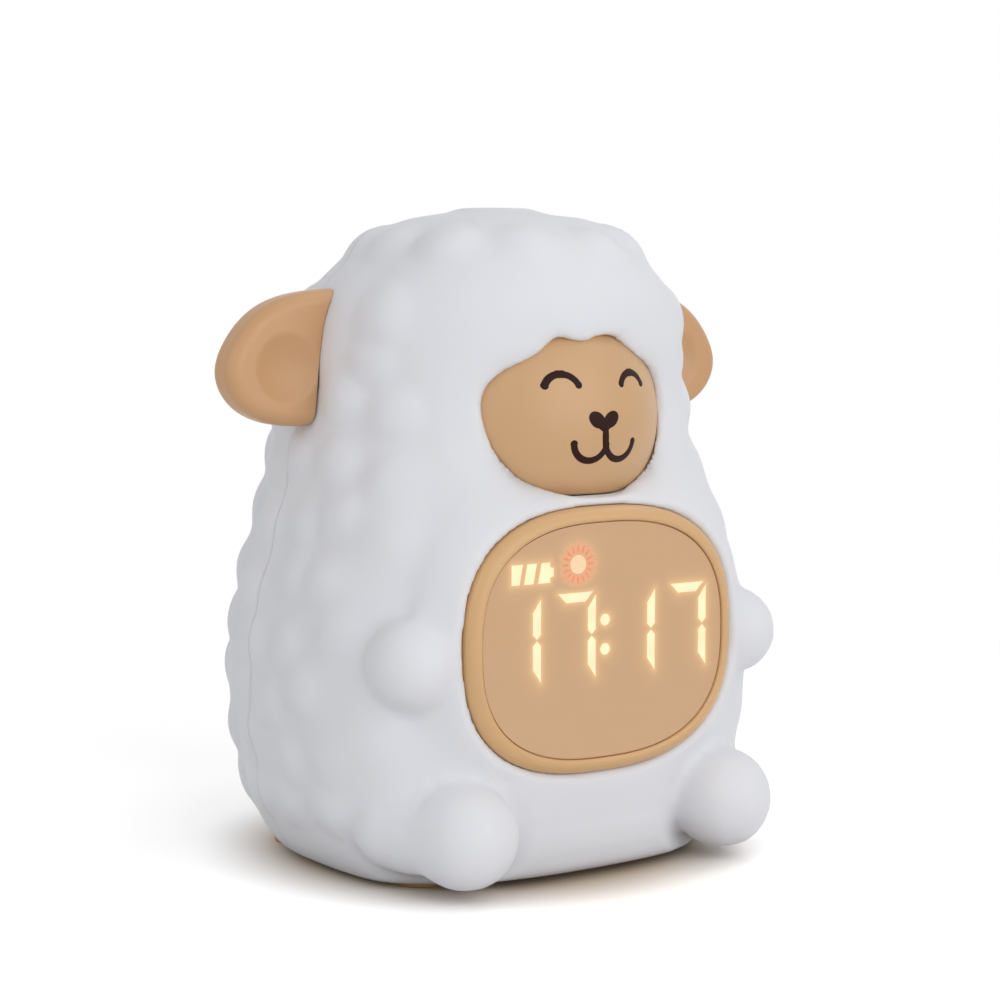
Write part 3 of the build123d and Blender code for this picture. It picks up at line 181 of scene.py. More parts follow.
# %% [markdown]
# ## Metal, circuit boards and LED resin
# Zinc-plated screws are metal, with the fine turning marks of a lathe. The socket's drawn steel
# shell is brighter. A circuit board is glass fibre under green solder mask, whose weave of about
# 0.5 mm shows faintly through. LED packages are pale yellow, from the phosphor in their resin.


# %% Metals
def plated(name, colour, roughness):
    """Plated steel with fine turning marks about 0.2 mm apart."""
    material, tree, place = new_material(name)
    marks = grained(tree, place, size=0.2, detail=3.0, rough=(roughness - 0.06, roughness + 0.08),
                    strength=0.3, depth=0.01)
    shader = add_node(tree, "ShaderNodeBsdfPrincipled", {
        "Base Color": linear(colour), "Metallic": 1.0, **marks})
    return show(material, shader)


zinc_steel = plated("zinc_plated_steel", "#B4B6B8", 0.32)
socket_steel = plated("drawn_socket_steel", "#C8CACC", 0.22)


# %% Circuit board and LED resin
def solder_mask(name, colour):
    """Green lacquer over woven glass: threads about 0.5 mm apart, hardly raised."""
    material, tree, place = new_material(name)
    weave = add_node(tree, "ShaderNodeTexWave", {
        "Vector": place, "Scale": 1 / (1.0 * MM), "Distortion": 1.0})
    bump = add_node(tree, "ShaderNodeBump", {
        "Height": weave.outputs["Fac"], "Strength": 0.2, "Distance": 0.01 * MM})
    shader = add_node(tree, "ShaderNodeBsdfPrincipled", {
        "Base Color": linear(colour), "Roughness": 0.25, "Normal": bump.outputs["Normal"]})
    return show(material, shader)


board_green = solder_mask("green_solder_mask", "#1E6B3C")
led_resin = moulded("phosphor_led_resin", "#EBDD8A", 0.25, grain=0.2)

# %% [markdown]
# ## The skin's silicone
# The skin is cast liquid silicone, a little translucent, matt from the tool's fine blast. Light
# sinks in for a few millimetres and comes out again, so its creases are never black: that is the
# subsurface part. The two mould halves meet on each flank and over the head, where a hair-thin
# raised line runs; it is drawn in the bump, at one fixed depth of the body.

# %% White silicone
PARTING_DEPTH = -3.0        # mm: the mould halves meet just behind the body's axis
PARTING_HALF_WIDTH, PARTING_HEIGHT = 0.45, 0.3      # mm


def silicone(name, colour):
    """Matt white silicone with the line where its mould parts."""
    material, tree, place = new_material(name)
    slow = add_node(tree, "ShaderNodeTexNoise", {
        "Vector": place, "Scale": 1 / (30 * MM), "Detail": 2.0})
    grain = grained(tree, place, size=0.5, detail=2.0, rough=(0.5, 0.62), strength=0.25, depth=0.02)
    split = add_node(tree, "ShaderNodeSeparateXYZ", {"Vector": place})
    off_line = add_node(tree, "ShaderNodeMath", {
        0: split.outputs["Y"], 1: at(0, PARTING_DEPTH, 0).y}, operation="SUBTRACT")
    distance = add_node(tree, "ShaderNodeMath", {0: off_line.outputs[0]}, operation="ABSOLUTE")
    ridge = add_node(tree, "ShaderNodeMapRange", {
        "Value": distance.outputs[0], "From Max": PARTING_HALF_WIDTH * MM,
        "To Min": 1.0, "To Max": 0.0}, interpolation_type="SMOOTHSTEP")
    base = linear(colour)
    shade = add_node(tree, "ShaderNodeMix", {
        "Factor": slow.outputs["Fac"], 6: [c * 0.97 for c in base[:3]] + [1.0], 7: base},
        data_type="RGBA")
    bump = add_node(tree, "ShaderNodeBump", {
        "Height": ridge.outputs["Result"], "Strength": 0.8, "Distance": PARTING_HEIGHT * MM,
        "Normal": grain["Normal"]})
    shader = add_node(tree, "ShaderNodeBsdfPrincipled", {
        "Base Color": shade.outputs[2], "Roughness": grain["Roughness"], "IOR": 1.41,
        "Subsurface Weight": 0.35, "Subsurface Scale": 3.0 * MM,
        "Subsurface Radius": (1.0, 0.95, 0.9), "Normal": bump.outputs["Normal"]})
    return show(material, shader)


white_silicone = silicone("matt_white_silicone", "#E8E9EE")

# %% [markdown]
# ## The display's window, ink and light
# The window is tinted acrylic, moulded glossy, so it mirrors the room softly. The face is
# pad-printed in dark brown ink, matt enough to stay dark under a lamp. What glows behind the
# window is given as emission: strength 1 shows the colour just as it is written.


# %% Ink and glow
def ink(name, colour, gloss):
    """Printed ink, with faint waves about 6 mm apart."""
    material, tree, place = new_material(name)
    waves = grained(tree, place, size=6, detail=1.0, rough=(0.4, 0.45), strength=0.1, depth=0.02)
    shader = add_node(tree, "ShaderNodeBsdfPrincipled", {
        "Base Color": linear(colour), "IOR": 1.49, "Specular IOR Level": gloss, **waves})
    return show(material, shader)


def glowing(name, colour, strength):
    """A lit diffuser: the colour as light, a touch uneven where its LED sits behind it."""
    material, tree, place = new_material(name)
    uneven = add_node(tree, "ShaderNodeTexNoise", {
        "Vector": place, "Scale": 1 / (4 * MM), "Detail": 0.0})
    level = add_node(tree, "ShaderNodeMapRange", {
        "Value": uneven.outputs["Fac"], "To Min": strength * 0.9, "To Max": strength * 1.1})
    shader = add_node(tree, "ShaderNodeBsdfPrincipled", {
        "Base Color": linear("#20140A"), "Roughness": 0.6, "Emission Color": linear(colour),
        "Emission Strength": level.outputs["Result"]})
    return show(material, shader)


brown_ink = ink("brown_pad_printing_ink", "#2E1513", 0.12)
grey_ink = ink("grey_key_ink", "#8A7458", 0.4)
warm_light = glowing("warm_white_diffuser", "#FFF2C4", 1.0)
coral_light = glowing("coral_diffuser", "#F58A68", 0.95)
sun_light = glowing("peach_diffuser", "#FFCFA4", 1.0)

# %% The window's acrylic
GLOW_STRENGTH = 0.26        # light at the edge of a lit bar, next to the bar's own 1


def lit_window(name, colour, warm, coral):
    """Glossy acrylic, waved about 9 mm apart, with two painted glows."""
    material, tree, place = new_material(name)
    waves = grained(tree, place, size=9, detail=1.0, rough=(0.14, 0.2), strength=0.1, depth=0.02)
    near_warm = add_node(tree, "ShaderNodeAttribute", attribute_name="glow")
    near_coral = add_node(tree, "ShaderNodeAttribute", attribute_name="coral_glow")
    tint = add_node(tree, "ShaderNodeMix", {
        "Factor": near_coral.outputs["Fac"], 6: linear(warm), 7: linear(coral)}, data_type="RGBA")
    both = add_node(tree, "ShaderNodeMath", {
        0: near_warm.outputs["Fac"], 1: near_coral.outputs["Fac"]}, operation="MAXIMUM")
    strength = add_node(tree, "ShaderNodeMath", {
        0: both.outputs[0], 1: GLOW_STRENGTH}, operation="MULTIPLY")
    shader = add_node(tree, "ShaderNodeBsdfPrincipled", {
        "Base Color": linear(colour), "IOR": 1.49, "Emission Color": tint.outputs[2],
        "Emission Strength": strength.outputs[0], **waves})
    return show(material, shader)


window_acrylic = lit_window("tinted_window_acrylic", "#D4AB81", "#FFD38A", "#FF7A58")

# %% [markdown]
# ## Dressing the solids that stay
# Where a solid already has the right shape, it keeps it and only gets its finish. The list goes
# from the solid's name to its material, inside as well as outside, so an opened clock is right too.

# %% Finishes for the solids
FINISH = {
    "silicone_skin": white_silicone, "face_plate": face_abs, "display_bezel": bezel_abs,
    "left_ear": tan_abs, "right_ear": tan_abs, "base_plate": tan_abs, "rear_panel": tan_abs,
    "display_lens": window_acrylic, "display_module": mask_abs, "battery_cradle": mask_abs,
    "display_segments": warm_light, "foot_pads": tan_rubber, "switch_knob": cream_abs,
    "display_board": board_green, "main_board": board_green, "light_board": board_green,
    "display_retainer": milky_pp, "front_shell": milky_pp, "rear_shell": milky_pp,
    "shell_screws": zinc_steel, "ear_fasteners": zinc_steel, "base_screws": zinc_steel,
    "board_screws": zinc_steel, "usb_socket": socket_steel, "speaker": speaker_black,
    "battery": battery_wrap, "key_switches": switch_black, "slide_switch": switch_black,
    "tap_sensor": switch_black, "light_reflector": reflector_white, "light_leds": led_resin,
}
for key in ("key_alarm", "key_light", "key_minus", "key_plus"):
    FINISH[key] = cream_rubber


def dress(piece, material):
    piece.data.materials.clear()
    piece.data.materials.append(material)


for name, solid in NODES.items():
    dress(solid, FINISH[name])
print("dressed", len(NODES), "solids; left over:", sorted(set(NODES) - set(FINISH)))

# %% [markdown]
# ## Working in edit mode
# Every operator acts on what is selected, so each piece starts with everything deselected. A
# finished piece keeps its place in its mesh and its object at the origin, as the solids do.


# %% Selecting and making
def deselect():
    if bpy.context.object and bpy.context.object.mode != "OBJECT":
        bpy.ops.object.mode_set(mode="OBJECT")
    bpy.ops.object.select_all(action="DESELECT")


def pick(piece):
    """Make one piece selected and active."""
    deselect()
    piece.select_set(True)
    bpy.context.view_layer.objects.active = piece


def added(name):
    """Name the primitive that was just added, with its place applied to its mesh."""
    piece = bpy.context.object
    piece.name = name
    piece.data.name = name
    bpy.ops.object.transform_apply(location=True, rotation=True, scale=True)
    return piece


def select_vertices(piece, wanted):
    """Select the vertices that a test picks by their place, and stay in edit mode."""
    bpy.ops.object.mode_set(mode="EDIT")
    bpy.ops.mesh.select_mode(type="VERT")
    bpy.ops.mesh.select_all(action="DESELECT")
    bpy.ops.object.mode_set(mode="OBJECT")
    for vertex in piece.data.vertices:
        vertex.select = wanted(vertex.co)
    bpy.ops.object.mode_set(mode="EDIT")


def edit(piece, *steps):
    """Run some operators on the whole of a piece in edit mode."""
    pick(piece)
    bpy.ops.object.mode_set(mode="EDIT")
    bpy.ops.mesh.select_all(action="SELECT")
    for step in steps:
        step()
    bpy.ops.object.mode_set(mode="OBJECT")


def copy_of(piece, name):
    """A copy with a mesh of its own."""
    double = piece.copy()
    double.data = piece.data.copy()
    double.name = name
    double.data.name = name
    bpy.context.scene.collection.objects.link(double)
    return double


def join(pieces, name):
    """Several pieces made one."""
    pick(pieces[0])
    for piece in pieces[1:]:
        piece.select_set(True)
    bpy.ops.object.join()
    pieces[0].name = name
    return pieces[0]


# %% Modifiers and finishing
def modify(piece, name, kind, **settings):
    """Add a modifier with its settings; it waits until all are applied."""
    modifier = piece.modifiers.new(name, kind)
    for setting, value in settings.items():
        setattr(modifier, setting, value)
    return modifier


def apply_all(piece):
    pick(piece)
    for modifier in list(piece.modifiers):
        bpy.ops.object.modifier_apply(modifier=modifier.name)


def smooth(piece, name, rounds, weights=None):
    """Apply what waits, then smooth; weights, from point to share, limit it to some points."""
    modifier = modify(piece, name, "SMOOTH", factor=0.5, iterations=rounds)
    if weights is not None:
        group = piece.vertex_groups.new(name=name)
        for index, weight in weights.items():
            group.add([index], weight, "REPLACE")
        modifier.vertex_group = name
    apply_all(piece)
    piece.vertex_groups.clear()


def finish_piece(piece, body, material):
    """Dress a new piece and let it ride on its body."""
    dress(piece, material)
    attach(piece, body)
    print(piece.name, len(piece.data.polygons), "faces")


# %% [markdown]
# ## The woolly skin
# The solid's lumps are parts of balls that meet the body in hard creases. Cast silicone has no
# hard crease: every hollow is filled and every edge rounded by about a millimetre. Sculpting that
# by hand would take hours. A voxel remesh rebuilds the whole skin from small even cells, and a
# few rounds of smoothing then melt the creases as the mould's rounding does.

# %% Melt the lumps together
CELL = 1.09                 # mm, as small as keeps the skin under 200,000 triangles
woolly_skin = copy_of(NODES["silicone_skin"], "woolly_skin")
woolly_skin.parent = None
for key in [k for k in woolly_skin.keys() if k.startswith("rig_")]:
    del woolly_skin[key]
edit(woolly_skin, lambda: bpy.ops.mesh.remove_doubles(threshold=0.01 * MM))
modify(woolly_skin, "cells", "REMESH", mode="VOXEL", voxel_size=CELL * MM)
smooth(woolly_skin, "melt", 6)
print("cells of the skin", len(woolly_skin.data.polygons))

# %% [markdown]
# Real wool isn't even, so the flanks and the back get a second, irregular relief of about a
# millimetre further down. Belly, face and limbs stay smooth. The belly also runs into the pad that
# carries the display without an edge, so that zone alone is smoothed many times more. Each point
# therefore gets two numbers: how woolly it is, and how much it is belly.

# %% Where wool and belly are
ARM_AT, ARM_RADIUS = Vector((41.0, 38.0, 48.3)), 11.5       # mm: x, depth, height
FOOT_AT, FOOT_RADIUS = Vector((32.8, 44.3, 13.3)), 10.8
SQUARENESS, FACE_SQUARENESS = 2.6, 2.2      # exponents of the display's and the face's outline


def middle_and_half(low, high):
    """A box's middle, and its half width and half height in mm."""
    return (low + high) / 2, (high.x - low.x) / 2 / MM, (high.z - low.z) / 2 / MM


face_low, face_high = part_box("face_plate")
bezel_low, bezel_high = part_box("display_bezel")
FACE_MIDDLE, FACE_HALF_WIDTH, FACE_HALF_HEIGHT = middle_and_half(face_low, face_high)
BEZEL_MIDDLE, BEZEL_HALF_WIDTH, BEZEL_HALF_HEIGHT = middle_and_half(bezel_low, bezel_high)


def ramp(value, start, end):
    """0 before the start, 1 after the end, and even in between."""
    return max(0.0, min(1.0, (value - start) / (end - start)))


def round_distance(x, z, half_width, half_height, power):
    """Rough distance, in mm, outside a superellipse about the middle."""
    reach = (abs(x / half_width) ** power + abs(z / half_height) ** power) ** (1 / power)
    return (reach - 1) * (half_width + half_height) / 2


def zones(place, normal):
    """How woolly and how much belly a point of the skin is, each 0 to 1; ramps are in mm."""
    x, depth, z = in_mm(place)
    off_arm = (on_right(place) - ARM_AT).length - ARM_RADIUS
    off_foot = (on_right(place) - FOOT_AT).length - FOOT_RADIUS
    off_face = round_distance(
        x, z - FACE_MIDDLE.z / MM, FACE_HALF_WIDTH, FACE_HALF_HEIGHT, FACE_SQUARENESS)
    off_bezel = round_distance(
        x, z - BEZEL_MIDDLE.z / MM, BEZEL_HALF_WIDTH, BEZEL_HALF_HEIGHT, SQUARENESS)
    outward = normal.dot(Vector((x, -depth, (z - 70) * 0.4)).normalized())
    outside = ramp(outward, 0.1, 0.3)
    limbs = min(ramp(off_arm, -0.5, 2.5), ramp(off_foot, 1, 5))
    wool = outside * limbs * ramp(z, 8, 16) * (1 - ramp(depth, 24, 36))
    belly = outside * limbs * ramp(depth, 22, 30) * (1 - ramp(z, 84, 92))
    return (wool * ramp(abs(x) + abs(depth), 20, 30),
            belly * ramp(off_bezel, 2.0, 5.0) * ramp(off_face, 3.0, 6.0))


woolliness, belly_share = {}, {}
for vertex in woolly_skin.data.vertices:
    woolliness[vertex.index], belly = zones(vertex.co, vertex.normal)
    if belly > 0:
        belly_share[vertex.index] = belly
smooth(woolly_skin, "smooth_belly", 90, belly_share)
print("points of the belly", len(belly_share))

# %% [markdown]
# ## Legs and hem
# Behind each foot a short leg lies along the flank and ends in a round heel. It is a tapered
# capsule, melted into the flank: each point of the skin goes outwards until it is on the blend of
# both forms, which a smooth minimum of the two distances gives. The hem is fuller than the solid's
# in front, so the outer side of the skin is pushed forwards there, and lowered a little all round.
# How far a point is from the hard shell under it tells the skin's outer side from its inner side.

# %% Outer side of the skin
from mathutils.bvhtree import BVHTree


def surface_of(*pieces):
    """One search tree over the surfaces of some pieces."""
    points, faces = [], []
    for piece in pieces:
        first = len(points)
        points += [vertex.co.copy() for vertex in piece.data.vertices]
        faces += [[first + i for i in face.vertices] for face in piece.data.polygons]
    return BVHTree.FromPolygons(points, faces)


inner_parts = surface_of(NODES["front_shell"], NODES["rear_shell"], NODES["base_plate"])


def outer_side(place):
    """0 on the skin's inner side, 1 on its outer side."""
    return ramp(inner_parts.find_nearest(place)[3] / MM, 0.5, 1.3)


# %% Legs
HEEL_AT, HEEL_RADIUS = Vector((42.2, 30.9, 13.6)), 7.3      # of the leg's round end
LEG_RADIUS = 10.2           # at the foot
LEG_BLEND = 1.8             # mm over which leg and flank melt together
LEG_RISE, LEG_STEP = 9, 0.1     # mm that a point goes at most, and at a time


def leg_distance(place):
    """Distance in mm outside the tapered leg."""
    along = HEEL_AT - FOOT_AT
    share = max(0.0, min(1.0, (place - FOOT_AT).dot(along) / along.length_squared))
    radius = LEG_RADIUS + (HEEL_RADIUS - LEG_RADIUS) * share
    return (place - FOOT_AT - along * share).length - radius


def blended(a, b, width):
    """The smaller of two distances, rounded where they are alike."""
    near = max(width - abs(a - b), 0.0) / width
    return min(a, b) - near * near * width / 4


leg_line = (HEEL_AT - FOOT_AT).normalized()
LEG_OUT = Vector((-leg_line.y, leg_line.x, 0))      # away from the body, square to the leg
legs = {}
for vertex in woolly_skin.data.vertices:
    side = -1 if vertex.co.x < 0 else 1
    place = on_right(vertex.co)
    slope = Vector((side * vertex.normal.x, -vertex.normal.y, vertex.normal.z)).dot(LEG_OUT)
    if slope > 0.2 and leg_distance(place) < LEG_BLEND and outer_side(vertex.co) > 0.9:
        rise = 0.0
        while rise < LEG_RISE and blended(
                rise * slope, leg_distance(place + LEG_OUT * rise), LEG_BLEND) < 0:
            rise += LEG_STEP
        vertex.co += Vector((side * LEG_OUT.x, -LEG_OUT.y, 0)) * rise * MM
        legs[vertex.index] = 1.0
smooth(woolly_skin, "soften_legs", 4, legs)
print("points of the legs", len(legs))

# %% Hem
HEM = [(0.0, 0.21), (2.6, 0.20), (3.4, 0.165), (4.4, 0.138), (6.0, 0.106), (9.0, 0.075),
       (13.0, 0.044), (24.0, 0.0)]      # height in mm, share of the depth that is added there
HEM_DROP, HEM_DROP_TOP = 1.4, 9.0       # mm lower at the rim, and the height where that ends


def hem_share(height):
    """How much further forwards the skin goes at a height in mm."""
    for (low, low_share), (high, high_share) in zip(HEM, HEM[1:]):
        if height < high:
            return low_share + (high_share - low_share) * ramp(height, low, high)
    return 0.0


hem = {}
for vertex in woolly_skin.data.vertices:
    x, depth, z = in_mm(vertex.co)
    if z < HEM[-1][0]:
        place = Vector((abs(x), depth, z))
        outer = outer_side(vertex.co)
        off_foot = (place - FOOT_AT).length - FOOT_RADIUS
        off_limbs = ramp(min(off_foot, leg_distance(place)), 0.5, 6)
        forwards = max(0.0, depth) * hem_share(z) * outer * off_limbs
        drop = HEM_DROP * outer * (1 - ramp(z, 2.4, HEM_DROP_TOP)) * ramp(off_foot, 0, 4)
        vertex.co += Vector((0, -forwards * MM, -drop * MM))
        hem[vertex.index] = outer * off_limbs * (1 - ramp(z, 3, 10))
smooth(woolly_skin, "even_out", 8, hem)
lowest = min(vertex.co.z for vertex in woolly_skin.data.vertices)
print("lowest point of the skin", round(lowest / MM, 2), "mm")

# %% [markdown]
# Where a limb meets the flank, the melting leaves a few sharp pits. A point that is far off the
# middle of its neighbours lies in one, so these points and those round them are smoothed again.

# %% Pits beside the limbs
PIT = 0.16                  # mm that a point may be off the middle of its neighbours
PIT_ZONE = 17.0             # mm round the middle of an arm or a foot
around = [[] for vertex in woolly_skin.data.vertices]
for one in woolly_skin.data.edges:
    first, second = one.vertices
    around[first].append(second)
    around[second].append(first)
points = [vertex.co.copy() for vertex in woolly_skin.data.vertices]
found = set()
for index, point in enumerate(points):
    off_limb = min((on_right(point) - limb).length for limb in (ARM_AT, FOOT_AT))
    if off_limb < PIT_ZONE and outer_side(point) > 0.9:
        middle = sum((points[i] for i in around[index]), Vector()) / len(around[index])
        if (point - middle).length > PIT * MM:
            found.update([index] + around[index])
found.update([i for index in found for i in around[index]])
smooth(woolly_skin, "fill", 12, dict.fromkeys(found, 1.0))
print("points near pits", len(found))

# %% [markdown]
# The irregular relief of the wool is smooth noise: a value that swells and sinks from place to
# place. Each point goes out or in along its normal by that value.

# %% Irregular wool
WOOL_DEPTH = 1.0            # mm out or in, at the most
WOOL_SIZE = 15.0            # mm, of one swell
moves = []
for vertex in woolly_skin.data.vertices:
    amount = woolliness[vertex.index]
    if amount > 0:
        swell = noise.noise(vertex.co / (WOOL_SIZE * MM))
        moves.append((vertex.index, vertex.normal * (amount * WOOL_DEPTH * swell * MM)))
for index, move in moves:
    woolly_skin.data.vertices[index].co += move
woolly_skin.data.update()
print("woolly points", len(moves))

# %% [markdown]
# ## Closing the openings
# Melting took about a millimetre off every rim, so a dark gap shows round the face and the
# display. The real skin grips what it frames. Seen from the front, each opening's edge is drawn in
# to its part, angle by angle, and the skin round it is stretched after it: the edge moves all the
# way, and a point some millimetres off stays. A ray from the middle finds the edge at each angle,
# and a ray from outside finds the part.

# %% Reading an opening, angle by angle
ANGLES = 180
TURNS = [2 * pi * step / ANGLES for step in range(ANGLES)]


def way_out(turn):
    return Vector((cos(turn), 0, sin(turn)))


def reach_table(surface, middle, depths, outwards, limit):
    """How far, in mm from the middle, a surface is at each angle in the front view."""
    reaches = []
    for turn in TURNS:
        found = []
        for depth in depths:
            centre = Vector((middle.x, at(0, depth, 0).y, middle.z))
            start = centre if outwards else centre + way_out(turn) * limit * MM
            way = way_out(turn) if outwards else -way_out(turn)
            hit = surface.ray_cast(start, way, limit * MM)[0]
            if hit is not None:
                found.append((hit - centre).length / MM)
        reaches.append((min(found) if outwards else max(found)) if found else None)
    for step in range(ANGLES):
        if reaches[step] is None:
            reaches[step] = reaches[step - 1]
    return reaches


def at_angle(table, angle):
    """The value of a table at any angle, even between its steps."""
    place = angle / (2 * pi) * ANGLES
    first = int(place) % ANGLES
    return table[first] + (table[(first + 1) % ANGLES] - table[first]) * (place % 1)


def shelf_table(surface, middle, edges, step_out):
    """The skin's depth some mm outside an opening's edge, at each angle."""
    depths = []
    for turn, edge in zip(TURNS, edges):
        start = at(middle.x / MM, 70, middle.z / MM) + way_out(turn) * (edge + step_out) * MM
        hit = surface.ray_cast(start, Vector((0, 1, 0)), 50 * MM)[0]
        depths.append((AXIS_Y - hit.y) / MM if hit is not None else depths[-1])
    return depths


# %% Draw an opening's edge in
def draw_in(skin, middle, edges, goals, fade, rises, from_depth):
    """Stretch the skin so that an opening's edge goes to its goal, and rises or sinks by some mm."""
    for vertex in skin.data.vertices:
        x, z = vertex.co.x - middle.x, vertex.co.z - middle.z
        depth = (AXIS_Y - vertex.co.y) / MM
        if depth < from_depth:
            continue
        angle, reach = atan2(z, x) % (2 * pi), (x * x + z * z) ** 0.5 / MM
        edge, goal = at_angle(edges, angle), at_angle(goals, angle)
        off = reach - edge
        if off < fade:
            new_reach = goal + max(0.0, off) * (edge + fade - goal) / fade
            vertex.co.x = middle.x + x * new_reach / reach
            vertex.co.z = middle.z + z * new_reach / reach
            share = (1 - ramp(off, 0, fade)) ** 2 * outer_side(vertex.co)
            vertex.co.y = at(0, depth + at_angle(rises, angle) * share, 0).y
    skin.data.update()


# %% Round the face
DOME_RADIUS = 27.84         # mm, of the face plate, part of a ball
DOME_DEPTH = (AXIS_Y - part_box("face_plate")[0].y) / MM - DOME_RADIUS
DOME_Z = 95.62


def dome_depth(x, z):
    """Depth of the dome's surface, in mm, at a place in front view."""
    return DOME_DEPTH + max(0.0, DOME_RADIUS ** 2 - x * x - (z - DOME_Z) ** 2) ** 0.5


CHEEK_LAP, FACE_LAP = 0.7, 0.4      # mm that the skin laps over the face, at the cheeks and above
FACE_FADE, LIP = 7.0, 0.8           # mm round the opening that give way, mm that the lip stands proud
face_x, face_z = FACE_MIDDLE.x / MM, FACE_MIDDLE.z / MM
skin_surface = surface_of(woolly_skin)
face_edges = reach_table(skin_surface, FACE_MIDDLE, range(30, 47), True, 34)
plate_reaches = reach_table(surface_of(NODES["face_plate"]), FACE_MIDDLE, [30, 31, 32], False, 34)
face_shelf = shelf_table(skin_surface, FACE_MIDDLE, face_edges, 1.0)
face_goals, face_drops = [], []
for turn, plate_reach, shelf in zip(TURNS, plate_reaches, face_shelf):
    across, up = cos(turn), sin(turn)
    goal = plate_reach - FACE_LAP - (CHEEK_LAP - FACE_LAP) * abs(across)
    face_goals.append(goal)
    wanted = dome_depth(face_x + goal * across, face_z + goal * up) + LIP
    face_drops.append((wanted - shelf) * ramp(abs(across), 0.35, 0.75))
print("widest gap at the face", round(max(e - g for e, g in zip(face_edges, face_goals)), 2), "mm")
draw_in(woolly_skin, FACE_MIDDLE, face_edges, face_goals, FACE_FADE, face_drops, 26)

# %% [markdown]
# What laps over the face has to lie on it, and so has the wall right beside it, or a jagged dark
# gap shows between them. Both are laid on the dome, the lip is smoothed, and laid again.

# %% The face's lip
LIP_ZONE = 1.0              # mm beyond the plate's edge that still lie on the dome's curve
LIP_WALL = 3.0              # mm behind the dome from which the wall is brought up
LIP_LIFT = 0.05             # mm between the dome and what lies on it


def lip_place(place):
    """A point's reach beyond the face plate's edge, and its depth behind the dome, in mm."""
    x, depth, z = in_mm(place)
    across, up = x - face_x, z - face_z
    edge = at_angle(plate_reaches, atan2(up, across) % (2 * pi))
    return (across * across + up * up) ** 0.5 - edge, dome_depth(x, z) - depth


def lay_lip():
    """Lay what laps over the face, and the wall right beside it, on the dome."""
    for vertex in woolly_skin.data.vertices:
        beyond, behind = lip_place(vertex.co)
        if beyond < LIP_ZONE and -LIP_LIFT < behind < LIP_WALL and vertex.co.z > 70 * MM:
            vertex.co.y -= (behind + LIP_LIFT) * MM
    woolly_skin.data.update()


lay_lip()
lip = {}
for vertex in woolly_skin.data.vertices:
    beyond, behind = lip_place(vertex.co)
    if beyond < 3 and behind < 1 and vertex.co.z > 70 * MM and vertex.co.y < at(0, 25, 0).y:
        lip[vertex.index] = 1 - ramp(beyond, 1.5, 3)
smooth(woolly_skin, "even_lip", 4, lip)
lay_lip()
print("points of the lip", len(lip))

# %% Round the display
BEZEL_EDGE_DEPTH = 45.2     # mm, where the bezel's curve starts
BEZEL_FADE = 4.5            # mm round the opening that give way
BEZEL_TOUCH = 0.03          # mm left between skin and bezel
SKIN_PROUD = 0.2            # mm that the skin stands before the bezel's edge


def superellipse_reach(angle, half_width, half_height):
    """How far the outline is from its middle, at an angle."""
    across, up = abs(cos(angle)) / half_width, abs(sin(angle)) / half_height
    return (across ** SQUARENESS + up ** SQUARENESS) ** (-1 / SQUARENESS)


skin_surface = surface_of(woolly_skin)
bezel_edges = reach_table(skin_surface, BEZEL_MIDDLE, range(40, 47), True, 40)
bezel_shelf = shelf_table(skin_surface, BEZEL_MIDDLE, bezel_edges, 0.8)
bezel_goals = [superellipse_reach(turn, BEZEL_HALF_WIDTH, BEZEL_HALF_HEIGHT) + BEZEL_TOUCH
               for turn in TURNS]
bezel_rises = [BEZEL_EDGE_DEPTH + SKIN_PROUD - depth for depth in bezel_shelf]
print("widest gap at the bezel", round(max(e - g for e, g in zip(bezel_edges, bezel_goals)), 2), "mm")
draw_in(woolly_skin, BEZEL_MIDDLE, bezel_edges, bezel_goals, BEZEL_FADE, bezel_rises, 38)

pick(woolly_skin)
bpy.ops.object.shade_smooth()
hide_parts("silicone_skin")
finish_piece(woolly_skin, "clock", white_silicone)

# %% [markdown]
# ## The display's window
# The window is an acrylic plate whose outline is a superellipse, a circle pushed towards a
# rectangle. A square grid is bent to that outline, so every part of it is divided evenly: light
# that spreads inside the plate can then be painted on its points, as two attributes.

# %% Bend a grid to the window's outline
LENS_MORE = 0.25            # mm that the window is wider than its solid, all round
WINDOW_FRONT = 46.95        # mm, depth of its front
WINDOW_GAP = 0.22           # mm round it
LENS_CELLS = 120
lens_low, lens_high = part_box("display_lens")
LENS_MIDDLE, LENS_HALF_WIDTH, LENS_HALF_HEIGHT = middle_and_half(lens_low, lens_high)
LENS_HALF_WIDTH += LENS_MORE
LENS_HALF_HEIGHT += LENS_MORE

deselect()
bpy.ops.mesh.primitive_grid_add(x_subdivisions=LENS_CELLS, y_subdivisions=LENS_CELLS, size=2.0,
                                rotation=(pi / 2, 0, 0))
display_window = added("display_window")
front_y = at(0, WINDOW_FRONT, 0).y
for vertex in display_window.data.vertices:
    u, v = vertex.co.x, vertex.co.z
    x, z = u * (1 - v * v / 2) ** 0.5, v * (1 - u * u / 2) ** 0.5      # square to circle
    reach = superellipse_reach(atan2(z, x), 1, 1) * MM
    vertex.co = (LENS_MIDDLE.x + x * reach * LENS_HALF_WIDTH, front_y,
                 LENS_MIDDLE.z + z * reach * LENS_HALF_HEIGHT)
modify(display_window, "plate", "SOLIDIFY", offset=-1.0, thickness=lens_high.y - front_y)
modify(display_window, "edge", "BEVEL", width=0.3 * MM, segments=3, limit_method="ANGLE",
       angle_limit=radians(60))
apply_all(display_window)
bpy.ops.object.shade_smooth_by_angle(angle=radians(35))
print("window", round(2 * LENS_HALF_WIDTH, 2), "mm wide")

# %% [markdown]
# ## The bezel
# The rim round the window is a moulded ring. Its front isn't flat: it swells from the skin to a
# crest and falls a little towards the window. A torus has just the right net of faces for a ring,
# so each of its small circles is bent to the rim's section, and the whole to the outline.

